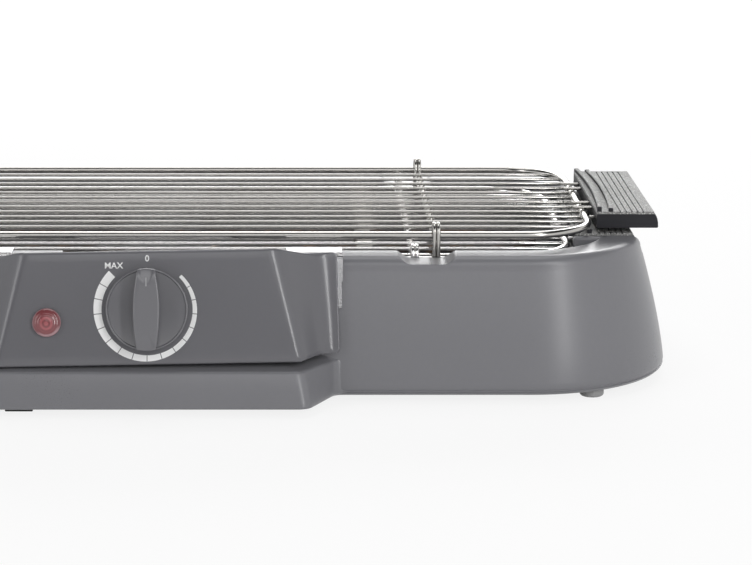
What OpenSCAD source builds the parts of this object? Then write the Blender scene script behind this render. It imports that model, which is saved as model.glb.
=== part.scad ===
// Electric table grill: a grey tub on rubber feet, a reflector tray, a heater unit that hangs on the front rim
// and two equal chrome racks, the lower one seated deep and the upper one seated on the shallow sockets.
// Millimetres. +Z up, +X to the right, -Y towards the user. The origin is on the table under the tub's centre.

/* [Tub] */
// Length over the foot of the wall
body_l = 498; // [486:1:530]
// Depth over the foot of the wall
body_w = 234; // [230:1:246]
// Radius of the outline's corners at the foot
foot_r = 70.5; // [66:0.5:74]
// Height of the foot of the wall above the table
base_z = 4; // [3:0.5:6]
// Height of the rim above the table
rim_z = 67.5; // [67:0.1:68]
// How far the wall leans in between foot and rim
wall_lean = 14.3; // [12:0.1:15]
// How strongly the lean is drawn towards the rim
lean_power = 1.37; // [1.2:0.01:1.6]
// Radius of the rim's outer edge
rim_round = 5; // [3.5:0.5:6]
// Radius of the rim's inner edge
lip_round = 1.5; // [1:0.25:2]
// Thickness of the outer wall and of the rim
wall_t = 3; // [2.4:0.1:3.2]
// Distance from the foot of the wall in to the opening, at the ends
end_band = 32.5; // [31:0.5:34]
// Distance from the foot of the wall in to the opening, at the front and back
side_band = 29.5; // [29:0.1:30]
// Radius of the opening's corners
well_r = 40; // [36:0.5:44]
// How far the inner wall leans in down to the floor
well_draft = 2; // [1:0.25:3]
// Thickness of the inner wall and of the floor
well_t = 2.4; // [2:0.1:2.8]
// Height of the tub's floor above the table
floor_z = 16.5; // [14:0.5:18]

/* [Wall slots] */
// Distance between two slots in the front and back inner walls
slot_pitch = 46.3; // [44:0.1:48]
// Width of a slot
slot_w = 7.5; // [5:0.5:8]
// Height of a slot's lower end
slot_z0 = 51.5; // [50:0.5:55]
// Height of a slot's upper end
slot_z1 = 61.5; // [58:0.5:62.5]

/* [Handle recesses] */
// Height of a recess's floor
recess_z = 59; // [57:0.5:59.5]
// Width of the finger scoop below a handle
scoop_w = 60; // [40:2:70]
// Height of the scoop's floor
scoop_z = 49; // [44:0.5:52]
// How far the scoop reaches in from the foot of the wall
scoop_in = 22; // [16:1:24]

/* [Bulge] */
// Half width of the bulge's face at its foot
bulge_foot = 74.3; // [70:0.5:78]
// Half width of the bulge's face at its top
bulge_top = 70.6; // [66:0.5:72]
// Half width of the bulge where it meets the wall
bulge_root = 86.5; // [84:0.5:90]
// Height of the bulge's top
bulge_z = 21; // [19:0.25:21.5]

/* [Feet and base] */
// Diameter of a foot
foot_d = 11.4; // [9:0.2:12]
// Distance of the feet from the ends of the tub
foot_in_x = 40.5; // [39.5:0.5:46]
// Distance of the feet from the tub's front and back
foot_in_y = 17; // [16:0.5:21]
// Diameter of a foot's plug
plug_d = 5; // [4:0.25:6]
// Length of a foot's plug
plug_l = 4.5; // [3:0.25:5]
// Thickness of the base cover
cover_t = 2; // [1.6:0.1:2.4]
// Distance of the base screws from the ends of the tub
screw_in_x = 84; // [80:1:96]
// Distance of the base screws from the tub's front and back
screw_in_y = 55; // [51:1:62]
// Diameter of a base screw's shank
screw_d = 2.9; // [2.5:0.1:3.5]
// Number of vents in each row of the base cover
vent_n = 7; // [3:1:8]

/* [Reflector] */
// Radius of the tray's wall at its top, from the tub's corner axes
tray_r = 33; // [31:0.25:33.5]
// How far the tray's wall leans in down to its floor
tray_draft = 5; // [3:0.5:8]
// Width of the tray's turned-out edge
tray_edge = 1.4; // [1:0.1:1.4]
// Thickness of the tray's sheet
tray_t = 0.9; // [0.8:0.1:1.2]
// Height of the tray's underside
tray_z = 20; // [19:0.5:22]
// Height of the tray's edge
tray_top = 50; // [46:0.5:50.5]
// Half width of the gate for the heater's tubes
gate_hx = 24; // [21:0.5:28]
// Height of the gate's sill
gate_z = 38; // [34:0.5:40]

/* [Heater] */
// Diameter of the heating tube
tube_d = 6.5; // [6:0.1:8]
// Height of the heating tube's axis
tube_z = 44.5; // [44:0.25:45]
// Distance of the front and back rows from the edge of the opening
row_in = 30.5; // [29:0.5:34]
// Distance of the outer bends' centres from the ends of the opening
bend_in = 44.5; // [40:0.5:56]
// Distance of the two inner bends from the middle along X
tube_in = 42; // [38:1:60]
// Distance of the tube's ends from the middle along X
tube_end = 16; // [15:0.25:18]
// Distance of the support strips from the middle along X
strip_x = 105; // [70:1:140]
// Half width of the neck that passes through the wall
neck_hx = 38; // [30:0.5:38.5]
// Height of the neck's underside
neck_z0 = 38; // [37.5:0.25:39]
// Height of the neck's top
neck_z1 = 51; // [50:0.25:52]

/* [Control box] */
// Lean of the control box's face from upright
face_tilt = 13.5; // [13:0.25:14]
// How far the knob's centre on the face stands in front of the wall's foot
face_out = 13.7; // [13:0.1:15]
// Height of the knob's centre above the table, on the face
face_z = 48.8; // [48.4:0.1:49.4]
// Half width of the face at its top
face_top = 58.7; // [55:0.1:62]
// Half width of the face at its foot
face_foot = 71; // [68:0.1:74]
// Face above the knob's centre
face_up = 27.5; // [25:0.1:29]
// Face below the knob's centre
face_down = 25.7; // [24:0.1:26]
// How many degrees the box's long edges rise to the right
face_lean = 1; // [0:0.25:1.25]
// Depth of the box behind its face
box_d = 19.4; // [19:0.1:19.6]
// Thickness of the box's skin
box_t = 2.2; // [1.8:0.1:2.6]
// Half width of the flange at its foot
flange_foot = 88.6; // [87:0.1:89.5]
// Half width of the flange at its top
flange_top = 87; // [85:0.1:88.5]
// Thickness of the flange
flange_t = 3; // [2.6:0.1:3.4]
// Half width of the steel back plate and its hooks
hanger_hx = 90.3; // [89.8:0.1:92]
// Thickness of the steel back plate
hanger_t = 1; // [0.8:0.1:1.2]
// Width of one hook
hook_w = 26; // [16:1:34]

/* [Knob and lamp] */
// Diameter of the knob
knob_d = 37.6; // [34:0.2:38]
// Thickness of the knob's disc
knob_t = 4; // [3:0.25:5]
// Height of the grip above the disc
grip_h = 9; // [6:0.5:12]
// Width of the grip in the middle
grip_w = 12.2; // [9:0.2:14]
// Diameter of the spindle
spindle_d = 6; // [5:0.25:6.25]
// Gap between knob and face
knob_gap = 0.8; // [0.5:0.1:1.5]
// Diameter of the pilot lens
lens_d = 13.2; // [11:0.2:14]
// Distance of the pilot lens from the knob along X
lens_x = 46; // [40:0.5:48]
// Height of the pilot lens below the knob's centre
lens_drop = 5.9; // [2:0.1:8]

/* [Racks] */
// Distance of a frame's end wires from the ends of the opening
rack_in_x = 16.5; // [16:0.25:18]
// Distance of a frame's long wires from the edge of the opening
rack_in_y = 4.5; // [4.35:0.05:4.65]
// Radius of the frame's corners
rack_r = 33; // [28:0.5:36]
// Diameter of the frame's wire
frame_d = 3.7; // [3.4:0.05:3.8]
// How far the frame's axis lies below the rods' axes
frame_drop = 0.5; // [0.3:0.1:0.6]
// Number of rods
rod_n = 12; // [8:2:14]
// Distance of the outer rods from the frame's long wires
rod_in = 17; // [15.5:0.5:24]
// Diameter of a rod
rod_d = 2; // [1.6:0.1:2.2]
// Diameter of a leg's wire
leg_d = 1.9; // [1.6:0.05:2]
// Distance of the legs from the rack's middle along X
leg_x = 125; // [124:0.25:126]
// Radius of the loop of a leg over the frame
leg_bend = 4; // [3.9:0.05:4.1]
// Height of a leg's loop above the rods' axes
leg_top = 6; // [5.6:0.1:6.6]
// Depth of a leg below the rods' axes
leg_low = 18; // [17:0.25:19]
// Height of the lower rack's rods above the table
low_z = 63.4; // [63.2:0.1:63.6]
// How much higher the upper rack sits
rack_rise = 10.6; // [10.4:0.1:11.4]
// How far the upper rack sits to the right
rack_shift = 10; // [9.5:0.25:11]

/* [Handles] */
// Distance of a handle's inner face from the frame's end wire
handle_out = 4.5; // [4:0.25:6]
// Length of a handle along X at its foot
handle_l = 29.8; // [28:0.2:31]
// Depth of a handle along Y
handle_w = 105; // [90:1:118]
// Depth of a handle's underside below the rods' axes
handle_low = 3.3; // [3:0.1:3.5]
// Height of the body's top above the rods' axes
handle_up = 3.4; // [3.4:0.1:3.6]
// Thickness of the grip plate
plate_t = 1.2; // [1:0.1:1.4]
// Height of the inner fin above the grip plate
fin_h1 = 2.3; // [1.5:0.1:2.4]
// Height of the outer fin above the grip plate
fin_h2 = 1.7; // [1:0.1:2]
// Thickness of a fin
fin_t = 1.9; // [1.4:0.1:2.2]
// Number of grooves in a grip plate
groove_n = 5; // [3:1:5]
// Distance between two grooves
groove_pitch = 2.8; // [2.2:0.1:3]

/* [Clearances] */
// Gap between pieces that are seated on one another
seat = 0.02; // [0.01:0.01:0.05]
// Gap round a screw, a plug or a wire in its hole
fit = 0.1; // [0.05:0.05:0.15]
// Running clearance of the spindle, per side
running = 0.05; // [0.03:0.01:0.1]
// Gap between the heater's neck and the notch in the wall
neck_gap = 2.5; // [1.5:0.25:4]
// Gap between a leg and the wall of its socket
socket_gap = 0.7; // [0.5:0.05:0.8]
// Gap between the base cover and the wall
cover_gap = 0.6; // [0.3:0.1:1.5]
// Gap between a handle's end and its recess
handle_gap = 2.5; // [1:0.25:4]

/* [Hidden] */
$fn = 48;
edge = 0.5;
well_hx = body_l / 2 - end_band;
well_hy = body_w / 2 - side_band;
face_y = body_w / 2 + face_out;
foot_x = body_l / 2 - foot_in_x;
foot_y = body_w / 2 - foot_in_y;
screw_x = body_l / 2 - screw_in_x;
screw_y = body_w / 2 - screw_in_y;
rack_hx = well_hx - rack_in_x;
rack_hy = well_hy - rack_in_y;
rod_pitch = 2 * (rack_hy - rod_in) / (rod_n - 1);
handle_x = rack_hx + handle_out;
recess_w = handle_w + 2 * handle_gap;
tube_bend = (well_hy - row_in) / 3;
tube_x = well_hx - bend_in;
tube_out = face_y - 16.7;
outer_cx = body_l / 2 - foot_r;
outer_cy = body_w / 2 - foot_r;
well_cx = well_hx - well_r;
well_cy = well_hy - well_r;
well_in = well_r - well_draft;
over = 40;
pad_x = well_cx - 26.5;
pad_y = well_cy - 7.5;
bead_y = well_cy - 17.5;
bead_d = 5;
up_z = low_z + rack_rise;
face_sin = sin(face_tilt);
face_cos = cos(face_tilt);
frame_rr = frame_d / 2;
leg_rr = leg_d / 2;
leg_y = rack_hy + leg_bend;
leg_gap = leg_rr + seat / 2;
socket_hx = leg_d + socket_gap;
socket_hy = leg_rr + socket_gap;
socket_wall = 1.9;
socket_floor = 3;
scallop_z = rim_z - 3.5;
scallop_w = 27;
scallop_side = 6;
sockets = [[leg_x, leg_x + rack_shift], [-leg_x, -leg_x + rack_shift]];
rack_places = [[0, 0, low_z], [rack_shift, 0, up_z]];
notch_hx = neck_hx + neck_gap;
hook_z = rim_z + 2 * seat;
post_d = 8;
post_hole = screw_d + fit;
lip_y = well_hy - 7 * seat;
grip_round = 18;
knob_hub = 12;
flat_cut = spindle_d / 2 - 1;
plate_top = handle_up + plate_t;
tie_rows = [1.5, 2.5];
pin_row = 3.5;
plug_y = handle_w / 2 - 12.5;
box_in = box_d - 0.01;

// Radius of the wall's outside at height z, from the corner axes.
function outer_r(z) = foot_r - wall_lean * pow((z - base_z) / (rim_z - base_z), lean_power);

// Side profile of the wall's outside, moved in by t and ending t below the rim.
function outer_profile(t) =
  let (z1 = rim_z - rim_round, r1 = outer_r(z1) - rim_round, n = 8, z0 = base_z + 1.5)
  concat([[foot_r - 2 - t, base_z]],
    [for (i = [0 : n]) let (z = z0 + (z1 - z0) * i / n) [outer_r(z) - t, z]],
    [for (a = [18 : 18 : 90]) [r1 + (rim_round - t) * cos(a), z1 + (rim_round - t) * sin(a)]]);

// Side profile of the tub's inside, moved out by t.
function well_profile(t) = [[well_in + t, floor_z - t], [well_r + t, rim_z - lip_round - (t > 0 ? 1 : 0)]];

// A solid whose side follows the profile p round a rounded rectangle with corner axes at cx, cy.
module rounded_solid(cx, cy, p) {
  n = len(p) - 1;
  wedge = concat([[0, p[0][1]]], p, [[0, p[n][1]]]);
  for (k = [0 : 3])
    translate([k == 0 || k == 3 ? cx : -cx, k < 2 ? cy : -cy, 0]) rotate([0, 0, 90 * k])
      rotate_extrude(angle = 90) polygon(wedge);
  rotate([90, 0, 90]) translate([0, 0, -cx]) linear_extrude(2 * cx)
    polygon(concat([for (q = p) [cy + q[0], q[1]]], [for (i = [n : -1 : 0]) [-cy - p[i][0], p[i][1]]]));
  for (s = [-1, 1])
    rotate([90, 0, 0]) translate([0, 0, -cy]) linear_extrude(2 * cy)
      polygon([for (q = wedge) [s * (cx + q[0]), q[1]]]);
}

// A box from corner a to corner b.
module block(a, b) { translate(a) cube(b - a); }

// A round bar from a to b.
module bar(a, b, d) {
  v = b - a;
  l = norm(v);
  translate(a) rotate([0, acos(v[2] / l), atan2(v[1], v[0])]) cylinder(d = d, h = l);
}

// A bend of wire in the XY plane, from angle a0 through sweep degrees.
module bend(r, d, a0, sweep) { rotate([0, 0, a0]) rotate_extrude(angle = sweep) translate([r, 0]) circle(d = d); }

// Puts children on the control box's face: x to the right, y up along the face, z outwards.
module face_frame() { translate([0, -face_y, face_z]) rotate([90 - face_tilt, 0, 0]) children(); }

// Height on the face that is level with the box's foot, at depth n behind the face.
function foot_w(n) = -face_down + n * tan(face_tilt);

// Side view: the point w up the face and n in front of it, and the point n in front of it at height z.
function on_face(w, n) = [-face_y + w * face_sin - n * face_cos, face_z + w * face_cos + n * face_sin];
function face_at(z, n) = on_face((z - face_z - n * face_sin) / face_cos, n);

// Raises a point of the box's outline by the lean of its long edges.
function leaned(p) = [p[0], p[1] + p[0] * tan(face_lean)];

// Outline of the box at depth n behind its face, moved in by t.
function box_outline(n, t) =
  let (k = n / box_d, foot = face_foot + 12.6 * k - t, top = face_top + 17 * k - t)
  [for (p = [[-foot, foot_w(n) + t], [foot, foot_w(n) + t], [top, face_up - k - t], [-top, face_up - k - t]]) leaned(p)];

module housing() {
  color([0.44, 0.44, 0.46])
  difference() {
    union() {
      difference() {
        union() {
          rounded_solid(outer_cx, outer_cy, outer_profile(0));
          bulge(0);
        }
        difference() {
          translate([0, 0, -edge]) rounded_solid(outer_cx, outer_cy, outer_profile(wall_t));
          rounded_solid(well_cx, well_cy, concat(well_profile(well_t), [[well_r + well_t, rim_z]]));
          ribs();
        }
        translate([0, 0, -edge]) bulge(wall_t);
        well();
      }
      for (s = sockets, t = [-1, 1]) socket_boss(s, t);
      for (x = [-1, 1], y = [-1, 1]) tray_pad(x * pad_x, y * pad_y);
    }
    for (s = sockets, t = [-1, 1]) socket_cut(s, t);
    for (s = [-1, 1]) recess_cut(s);
    slots();
    block([-notch_hx, -body_w / 2, neck_z0 - neck_gap / 2], [notch_hx, -well_cy - well_in + 3, rim_z + 1]);
    for (x = [-1, 1], y = [-1, 1]) {
      translate([x * foot_x, y * foot_y, 0]) cylinder(d = plug_d + 2 * fit, h = base_z + plug_l + edge);
      translate([x * screw_x, y * screw_y, 0]) cylinder(d = post_hole, h = floor_z - well_t);
    }
  }
}

// The hollow of the tub with its rounded inner edge.
module well() {
  rounded_solid(well_cx, well_cy, concat(well_profile(0),
    [for (a = [30 : 30 : 90]) [well_r + lip_round * (1 - cos(a)), rim_z - lip_round * (1 - sin(a))]],
    [[well_r + lip_round, rim_z + edge]]));
}

// The bulge under the control box, in the same plane as the box's face, moved in by t.
module bulge(t) {
  hull() for (e = [[base_z, bulge_foot, 0], [bulge_z - t - 0.1, bulge_top, t > 0 ? 0 : 0.1]])
    translate([0, 0, e[0]]) linear_extrude(0.1)
      let (f = face_y + (face_z - e[0]) * tan(face_tilt) - t, x = e[1] - t, r = bulge_root - t - e[2])
        polygon([[-x, -f], [x, -f], [r, -outer_cy - outer_r(e[0]) + 2], [r, -outer_cy], [-r, -outer_cy],
          [-r, -outer_cy - outer_r(e[0]) + 2]]);
}

// Material that stays inside the hollow wall: seats, jambs and posts.
module ribs() {
  for (s = sockets) block([min(s) - 10, -body_w, scallop_z - wall_t], [max(s) + 10, body_w, rim_z]);
  for (s = [-1, 1]) {
    block([s > 0 ? well_cx : -body_l / 2, -recess_w / 2 - wall_t, recess_z - wall_t],
      [s > 0 ? body_l / 2 : -well_cx, recess_w / 2 + wall_t, rim_z]);
    block([s > 0 ? body_l / 2 - scoop_in - wall_t : -body_l / 2, -scoop_w / 2 - wall_t, scoop_z - wall_t],
      [s > 0 ? body_l / 2 : -body_l / 2 + scoop_in + wall_t, scoop_w / 2 + wall_t, rim_z]);
  }
  block([-notch_hx - wall_t, -body_w, neck_z0 - neck_gap / 2 - wall_t], [notch_hx + wall_t, 0, rim_z]);
  for (x = [-1, 1], y = [-1, 1]) {
    translate([x * screw_x, y * screw_y, base_z + cover_t + 2 * seat]) cylinder(d = post_d, h = floor_z);
    translate([x * foot_x, y * foot_y, base_z]) cylinder(d = foot_d, h = floor_z);
  }
}

module tray_pad(x, y) {
  translate([x, y, floor_z - edge]) cylinder(d = 14, h = tray_z - floor_z + edge - seat);
}

// The block round one pair of sockets; t is -1 at the front and 1 at the back.
module socket_boss(s, t) {
  y0 = leg_y - socket_hy - socket_wall;
  block([min(s) - socket_hx - socket_wall, t > 0 ? y0 : -leg_y - socket_hy - socket_wall,
      low_z - leg_low - socket_floor],
    [max(s) + socket_hx + socket_wall, t > 0 ? leg_y + socket_hy + socket_wall : -y0,
      low_z - frame_drop - frame_rr - 1]);
}

// A deep socket for the lower rack, a shallow one for the upper rack and the scallop in the rim above them.
module socket_cut(s, t) {
  for (k = [0, 1])
    translate([s[k] - socket_hx, t * leg_y - socket_hy, (k == 0 ? low_z : up_z) - leg_low - seat])
      cube([2 * socket_hx, 2 * socket_hy, over]);
  c = (s[0] + s[1]) / 2;
  h = scallop_w / 2;
  translate([c, t * (body_w / 2 + well_hy - 6) / 2, 0]) rotate([90, 0, 0])
    linear_extrude(body_w / 2 - well_hy + 6, center = true)
      polygon(concat([for (u = [0 : 0.2 : 1]) [-h + u * scallop_side, scallop_z + 3.5 * (1 - sin(90 * u))]],
        [for (u = [1 : -0.2 : 0]) [h - u * scallop_side, scallop_z + 3.5 * (1 - sin(90 * u))]],
        [[h + 1, rim_z + 1], [-h - 1, rim_z + 1]]));
}

// The recess in which the lower rack's handle lies, with a finger scoop below it.
module recess_cut(s) {
  block([s > 0 ? well_cx : -body_l, -recess_w / 2, recess_z], [s > 0 ? body_l : -well_cx, recess_w / 2, rim_z + 1]);
  block([s > 0 ? body_l / 2 - scoop_in : -body_l, -scoop_w / 2, scoop_z],
    [s > 0 ? body_l : -body_l / 2 + scoop_in, scoop_w / 2, rim_z + 1]);
}

// Upright slots in the long inner walls, left out where a socket block stands.
module slots() {
  for (i = [-3.5 : 1 : 3.5], t = [-1, 1])
    let (x = i * slot_pitch)
      if (abs(x - (sockets[1][0] + sockets[1][1]) / 2) > 14 && (t > 0 || abs(x) > notch_hx + 8))
        translate([x - slot_w / 2, t > 0 ? well_hy - 5 : -well_hy - well_t - edge, slot_z0])
          cube([slot_w, well_t + 5 + edge, slot_z1 - slot_z0]);
}

module base_cover() {
  r = foot_r - wall_t - cover_gap;
  color([0.2, 0.2, 0.21])
  difference() {
    rounded_solid(outer_cx, outer_cy, [[r - 2, base_z + seat], [r - 2, base_z + cover_t]]);
    for (x = [-1, 1], y = [-1, 1]) {
      translate([x * screw_x, y * screw_y, 0]) cylinder(d = post_hole + 0.6, h = over);
      translate([x * foot_x, y * foot_y, 0]) cylinder(d = foot_d + 2 * cover_gap, h = over);
    }
    cylinder(d = plug_d + 2 * fit, h = over);
    for (i = [0 : vent_n - 1], y = [-1, 1])
      translate([(i - (vent_n - 1) / 2) * 36, y * 38, 0]) {
        translate([0, -12, -edge]) cube([4, 24, over], center = false);
        for (e = [-12, 12]) translate([2, e, -edge]) cylinder(d = 4, h = over);
      }
  }
}

module base_screws() {
  color([0.6, 0.6, 0.62])
  for (x = [-1, 1], y = [-1, 1])
    translate([x * screw_x, y * screw_y, 0]) {
      difference() {
        translate([0, 0, base_z - 1.8]) cylinder(d = 6, h = 1.8);
        for (a = [0, 90]) rotate([0, 0, a]) translate([-1.8, -0.4, 0]) cube([3.6, 0.8, base_z - 1]);
      }
      translate([0, 0, base_z - edge]) cylinder(d = screw_d, h = 9);
    }
}

// Four feet under the corners of the tub and one in the middle of the base cover.
module feet() {
  color([0.12, 0.12, 0.13])
  for (p = concat([for (x = [-1, 1], y = [-1, 1]) [x * foot_x, y * foot_y]], [[0, 0]]))
    translate([p[0], p[1], 0]) {
      rotate_extrude() polygon([[0, 0], [foot_d / 2 - 0.8, 0], [foot_d / 2, 0.8], [foot_d / 2, base_z - seat],
        [0, base_z - seat]]);
      cylinder(d = plug_d, h = base_z + plug_l);
    }
}

// The pad under the bulge's left end.
module cord_side_pad() {
  color([0.12, 0.12, 0.13])
  block([-bulge_foot + 8, -face_y + 1, 0], [-bulge_foot + 21, -face_y + 12, bulge_z - wall_t - edge - seat]);
}

module reflector() {
  p = [[tray_r - tray_draft, tray_z], [tray_r, tray_top]];
  color([0.8, 0.8, 0.8])
  difference() {
    union() {
      rounded_solid(well_cx, well_cy, p);
      rounded_solid(well_cx, well_cy, [[tray_r + tray_edge, tray_top - tray_t], [tray_r + tray_edge, tray_top]]);
    }
    rounded_solid(well_cx, well_cy, [[tray_r - tray_draft - tray_t, tray_z + tray_t], [tray_r - tray_t, tray_top + edge]]);
    block([-gate_hx, -body_w / 2, gate_z], [gate_hx, -well_cy - 10, over + tray_top]);
  }
  for (y = [-1, 0, 1])
    color([0.8, 0.8, 0.8])
    translate([0, y * bead_y, tray_z])
    difference() {
      translate([-pad_x, 0, -0.1]) rotate([0, 90, 0]) cylinder(d = bead_d, h = 2 * pad_x);
      block([-pad_x - 1, -bead_d, -bead_d], [pad_x + 1, bead_d, tray_t / 2]);
    }
}

// The heating tube: four rows joined by bends, with both ends leaving through the neck.
module element() {
  r = tube_bend;
  c = 12;
  color([0.25, 0.24, 0.24])
  translate([0, 0, tube_z]) {
    bar([-tube_x, 3 * r, 0], [tube_x, 3 * r, 0], tube_d);
    for (s = [-1, 1]) mirror([s > 0 ? 0 : 1, 0, 0]) {
      translate([tube_x, 2 * r, 0]) bend(r, tube_d, -90, 180);
      bar([tube_in, r, 0], [tube_x, r, 0], tube_d);
      translate([tube_in, 0, 0]) bend(r, tube_d, 90, 180);
      bar([tube_in, -r, 0], [tube_x, -r, 0], tube_d);
      translate([tube_x, -2 * r, 0]) bend(r, tube_d, -90, 180);
      bar([tube_end + c, -3 * r, 0], [tube_x, -3 * r, 0], tube_d);
      translate([tube_end + c, -3 * r - c, 0]) bend(c, tube_d, 90, 90);
      bar([tube_end, -tube_out, 0], [tube_end, -3 * r - c, 0], tube_d);
    }
  }
}

// Flat strips under the rows, each with a ring round every row.
module element_strips() {
  color([0.7, 0.7, 0.71])
  for (s = [-1, 1])
    translate([s * strip_x, 0, tube_z]) {
      difference() {
        union() {
          for (k = [-3, -1, 1, 3])
            translate([-4, k * tube_bend, 0]) rotate([0, 90, 0]) cylinder(d = tube_d + 2.2, h = 8);
          block([-5, -3 * tube_bend - 4, -tube_d / 2 - 1.6], [5, 3 * tube_bend + 4, -tube_d / 2 - 0.6]);
          for (k = [-2, 2]) block([-5, k * tube_bend - 0.5, tray_z + tray_t + seat - tube_z],
            [5, k * tube_bend + 0.5, -tube_d / 2 - 0.8]);
        }
        for (k = [-3, -1, 1, 3])
          translate([-10, k * tube_bend, 0]) rotate([0, 90, 0]) cylinder(d = tube_d + 2 * fit, h = 20);
      }
    }
}

module terminals() {
  color([0.85, 0.82, 0.7])
  for (s = [-1, 1]) translate([s * tube_end, -tube_out, tube_z]) {
    bar([0, -3, 0], [0, -seat, 0], 5);
    bar([0, -8, 0], [0, -2.8, 0], 2.6);
  }
}

module neck() {
  y1 = well_hy - 3.5;
  neck_t = 1;
  color([0.72, 0.72, 0.73])
  difference() {
    block([-neck_hx, -face_y + 10, neck_z0], [neck_hx, -y1, neck_z1]);
    block([-neck_hx + neck_t, -face_y, neck_z0 + neck_t], [neck_hx - neck_t, -y1 - neck_t, neck_z1 - neck_t]);
    for (s = [-1, 1]) bar([s * tube_end, -y1 - 2, tube_z], [s * tube_end, -y1 + 4, tube_z], tube_d + 2 * fit);
    face_frame() translate([-60, -60, -box_d - hanger_t - 2 * seat]) cube([120, 120, 60]);
  }
}

// Steel back plate of the control box; its two hooks lie over the rim.
module hanger() {
  n = -box_d - seat;
  w0 = foot_w(box_d) + 1.6;
  plate_w = 16.6;
  inner = hanger_hx - hook_w;
  plate = [on_face(w0, n - hanger_t), on_face(w0, n)];
  color([0.83, 0.83, 0.84])
  difference() {
    rotate([90, 0, 90]) {
      translate([0, 0, -inner]) linear_extrude(2 * inner)
        polygon(concat(plate, [on_face(plate_w, n), on_face(plate_w, n - hanger_t)]));
      for (x = [-hanger_hx, inner]) translate([0, 0, x]) linear_extrude(hook_w)
        polygon(concat(plate, hook_path(n)));
    }
    face_frame() translate([-neck_hx + 2, -6, n - 5]) cube([2 * neck_hx - 4, 12, 10]);
    for (x = [-1, 1]) face_frame() translate([x * 66, -14, n - 5]) cylinder(d = screw_d + 2 * fit, h = 10);
  }
}

// Side view of a hook: up in the plate's plane, over the rim and down inside the lip.
function hook_path(n) =
  let (z1 = hook_z + hanger_t, drop = rim_z - 4, y1 = -lip_y + hanger_t)
  [face_at(z1 - 1, n), [face_at(z1, n)[0] + 0.8, z1], [y1 - 0.3, z1], [y1, z1 - 0.5], [y1, drop],
    [-lip_y, drop], [-lip_y, hook_z], face_at(hook_z, n - hanger_t)];

module control_cover() {
  color([0.42, 0.42, 0.44])
  face_frame()
  difference() {
    union() {
      hull() {
        translate([0, 0, -0.1]) linear_extrude(0.1) polygon(box_outline(0, 0.6));
        translate([0, 0, -0.9]) linear_extrude(0.1) polygon(box_outline(0.8, 0));
        translate([0, 0, -box_in]) linear_extrude(0.1) polygon(box_outline(box_in, 0));
      }
      translate([0, 0, -box_d]) linear_extrude(flange_t) polygon([for (p = [
        [-flange_foot, foot_w(box_d)], [flange_foot, foot_w(box_d)], [flange_top, face_up - 1.2],
        [flange_top - 2, face_up - 0.6], [-flange_top + 2, face_up - 0.6], [-flange_top, face_up - 1.2]]) leaned(p)]);
    }
    hull() {
      translate([0, 0, -box_t - 0.1]) linear_extrude(0.1) polygon(box_outline(box_t, box_t));
      translate([0, 0, -box_d - 1]) linear_extrude(0.1) polygon(box_outline(box_d, box_t));
    }
    translate([0, 0, -10]) cylinder(d = 9.4, h = 20);
    translate([-lens_x, -lens_drop, -10]) cylinder(d = lens_d - 3, h = 20);
    translate([-80, -4, -10]) rotate([0, 90, 0]) cylinder(d = 8.2, h = 20);
  }
  color([0.42, 0.42, 0.44])
  face_frame() for (x = [-1, 1])
    difference() {
      translate([x * 66, -14, -box_d + 0.01]) cylinder(d = 7, h = box_d - box_t);
      translate([x * 66, -14, -box_d - 1]) cylinder(d = post_hole, h = 10);
    }
}

module cover_screws() {
  color([0.6, 0.6, 0.62])
  face_frame() for (x = [-1, 1])
    translate([x * 66, -14, -box_d - hanger_t - seat]) {
      translate([0, 0, -1 - seat]) cylinder(d = 5.4, h = 1);
      translate([0, 0, -edge]) cylinder(d = screw_d, h = 8);
    }
}

module thermostat() {
  color([0.75, 0.72, 0.66])
  face_frame()
  difference() {
    union() {
      translate([-11, -12, -16]) cube([22, 24, 11]);
      translate([0, 0, -6]) cylinder(d = 9, h = 6 - box_t / 2);
      for (x = [-8, 8], y = [-9, 9]) translate([x - 1.6, y - 0.4, -18.5]) cube([3.2, 0.8, 3]);
      for (x = [-1, 1]) translate([x * 8, 0, -6]) cylinder(d = 3, h = 6 - box_t - seat);
    }
    translate([0, 0, -12]) cylinder(d = spindle_d + 2 * running, h = 20);
  }
}

module terminal_block() {
  color([0.85, 0.85, 0.8])
  face_frame()
  difference() {
    translate([30, -10, -box_t - seat - 12]) cube([32, 14, 12]);
    for (i = [0 : 2]) translate([36 + i * 10, -3, -box_t - 13]) cylinder(d = 4, h = 8);
  }
}

// Short leads from the thermostat and the terminal block to the lamp and the gland, with a sleeve where one bends.
module leads() {
  sleeve = 3;
  wire = 1.6;
  turn = [-30, -17, -9];
  color([0.7, 0.3, 0.2])
  face_frame() {
    bar([11.2, 8, -10], [29.8, 3, -10], wire);
    bar([-11.2, -6, -10], [-lens_x + 2.5, -lens_drop, -10], wire);
    bar([-11.2, 8, -12], [-71, -2.2, -10], wire);
    for (p = [[40, -10.9, -9], [-71, -5.8, -10]])
      bar(p, turn + 0.9 * (p - turn) / norm(p - turn), wire);
    translate(turn) sphere(d = sleeve);
  }
}

module pilot_lens() {
  color([0.6, 0.08, 0.08])
  face_frame() translate([-lens_x, -lens_drop, 0])
    rotate_extrude() polygon(concat([[0, -3.4], [lens_d / 2 - 1.6, -3.4], [lens_d / 2 - 1.6, seat], [lens_d / 2, seat],
      [lens_d / 2, 1.2]], [for (a = [10 : 10 : 90]) [lens_d / 2 * cos(a), 1.2 + 2.6 * sin(a)]]));
}

module pilot_lamp() {
  color([0.95, 0.6, 0.4])
  face_frame() translate([-lens_x, -lens_drop, 0]) {
    translate([0, 0, -8]) cylinder(d = 4.5, h = 4.5);
    translate([0, 0, -12]) cylinder(d = 4.4, h = 4.1);
  }
}

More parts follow.
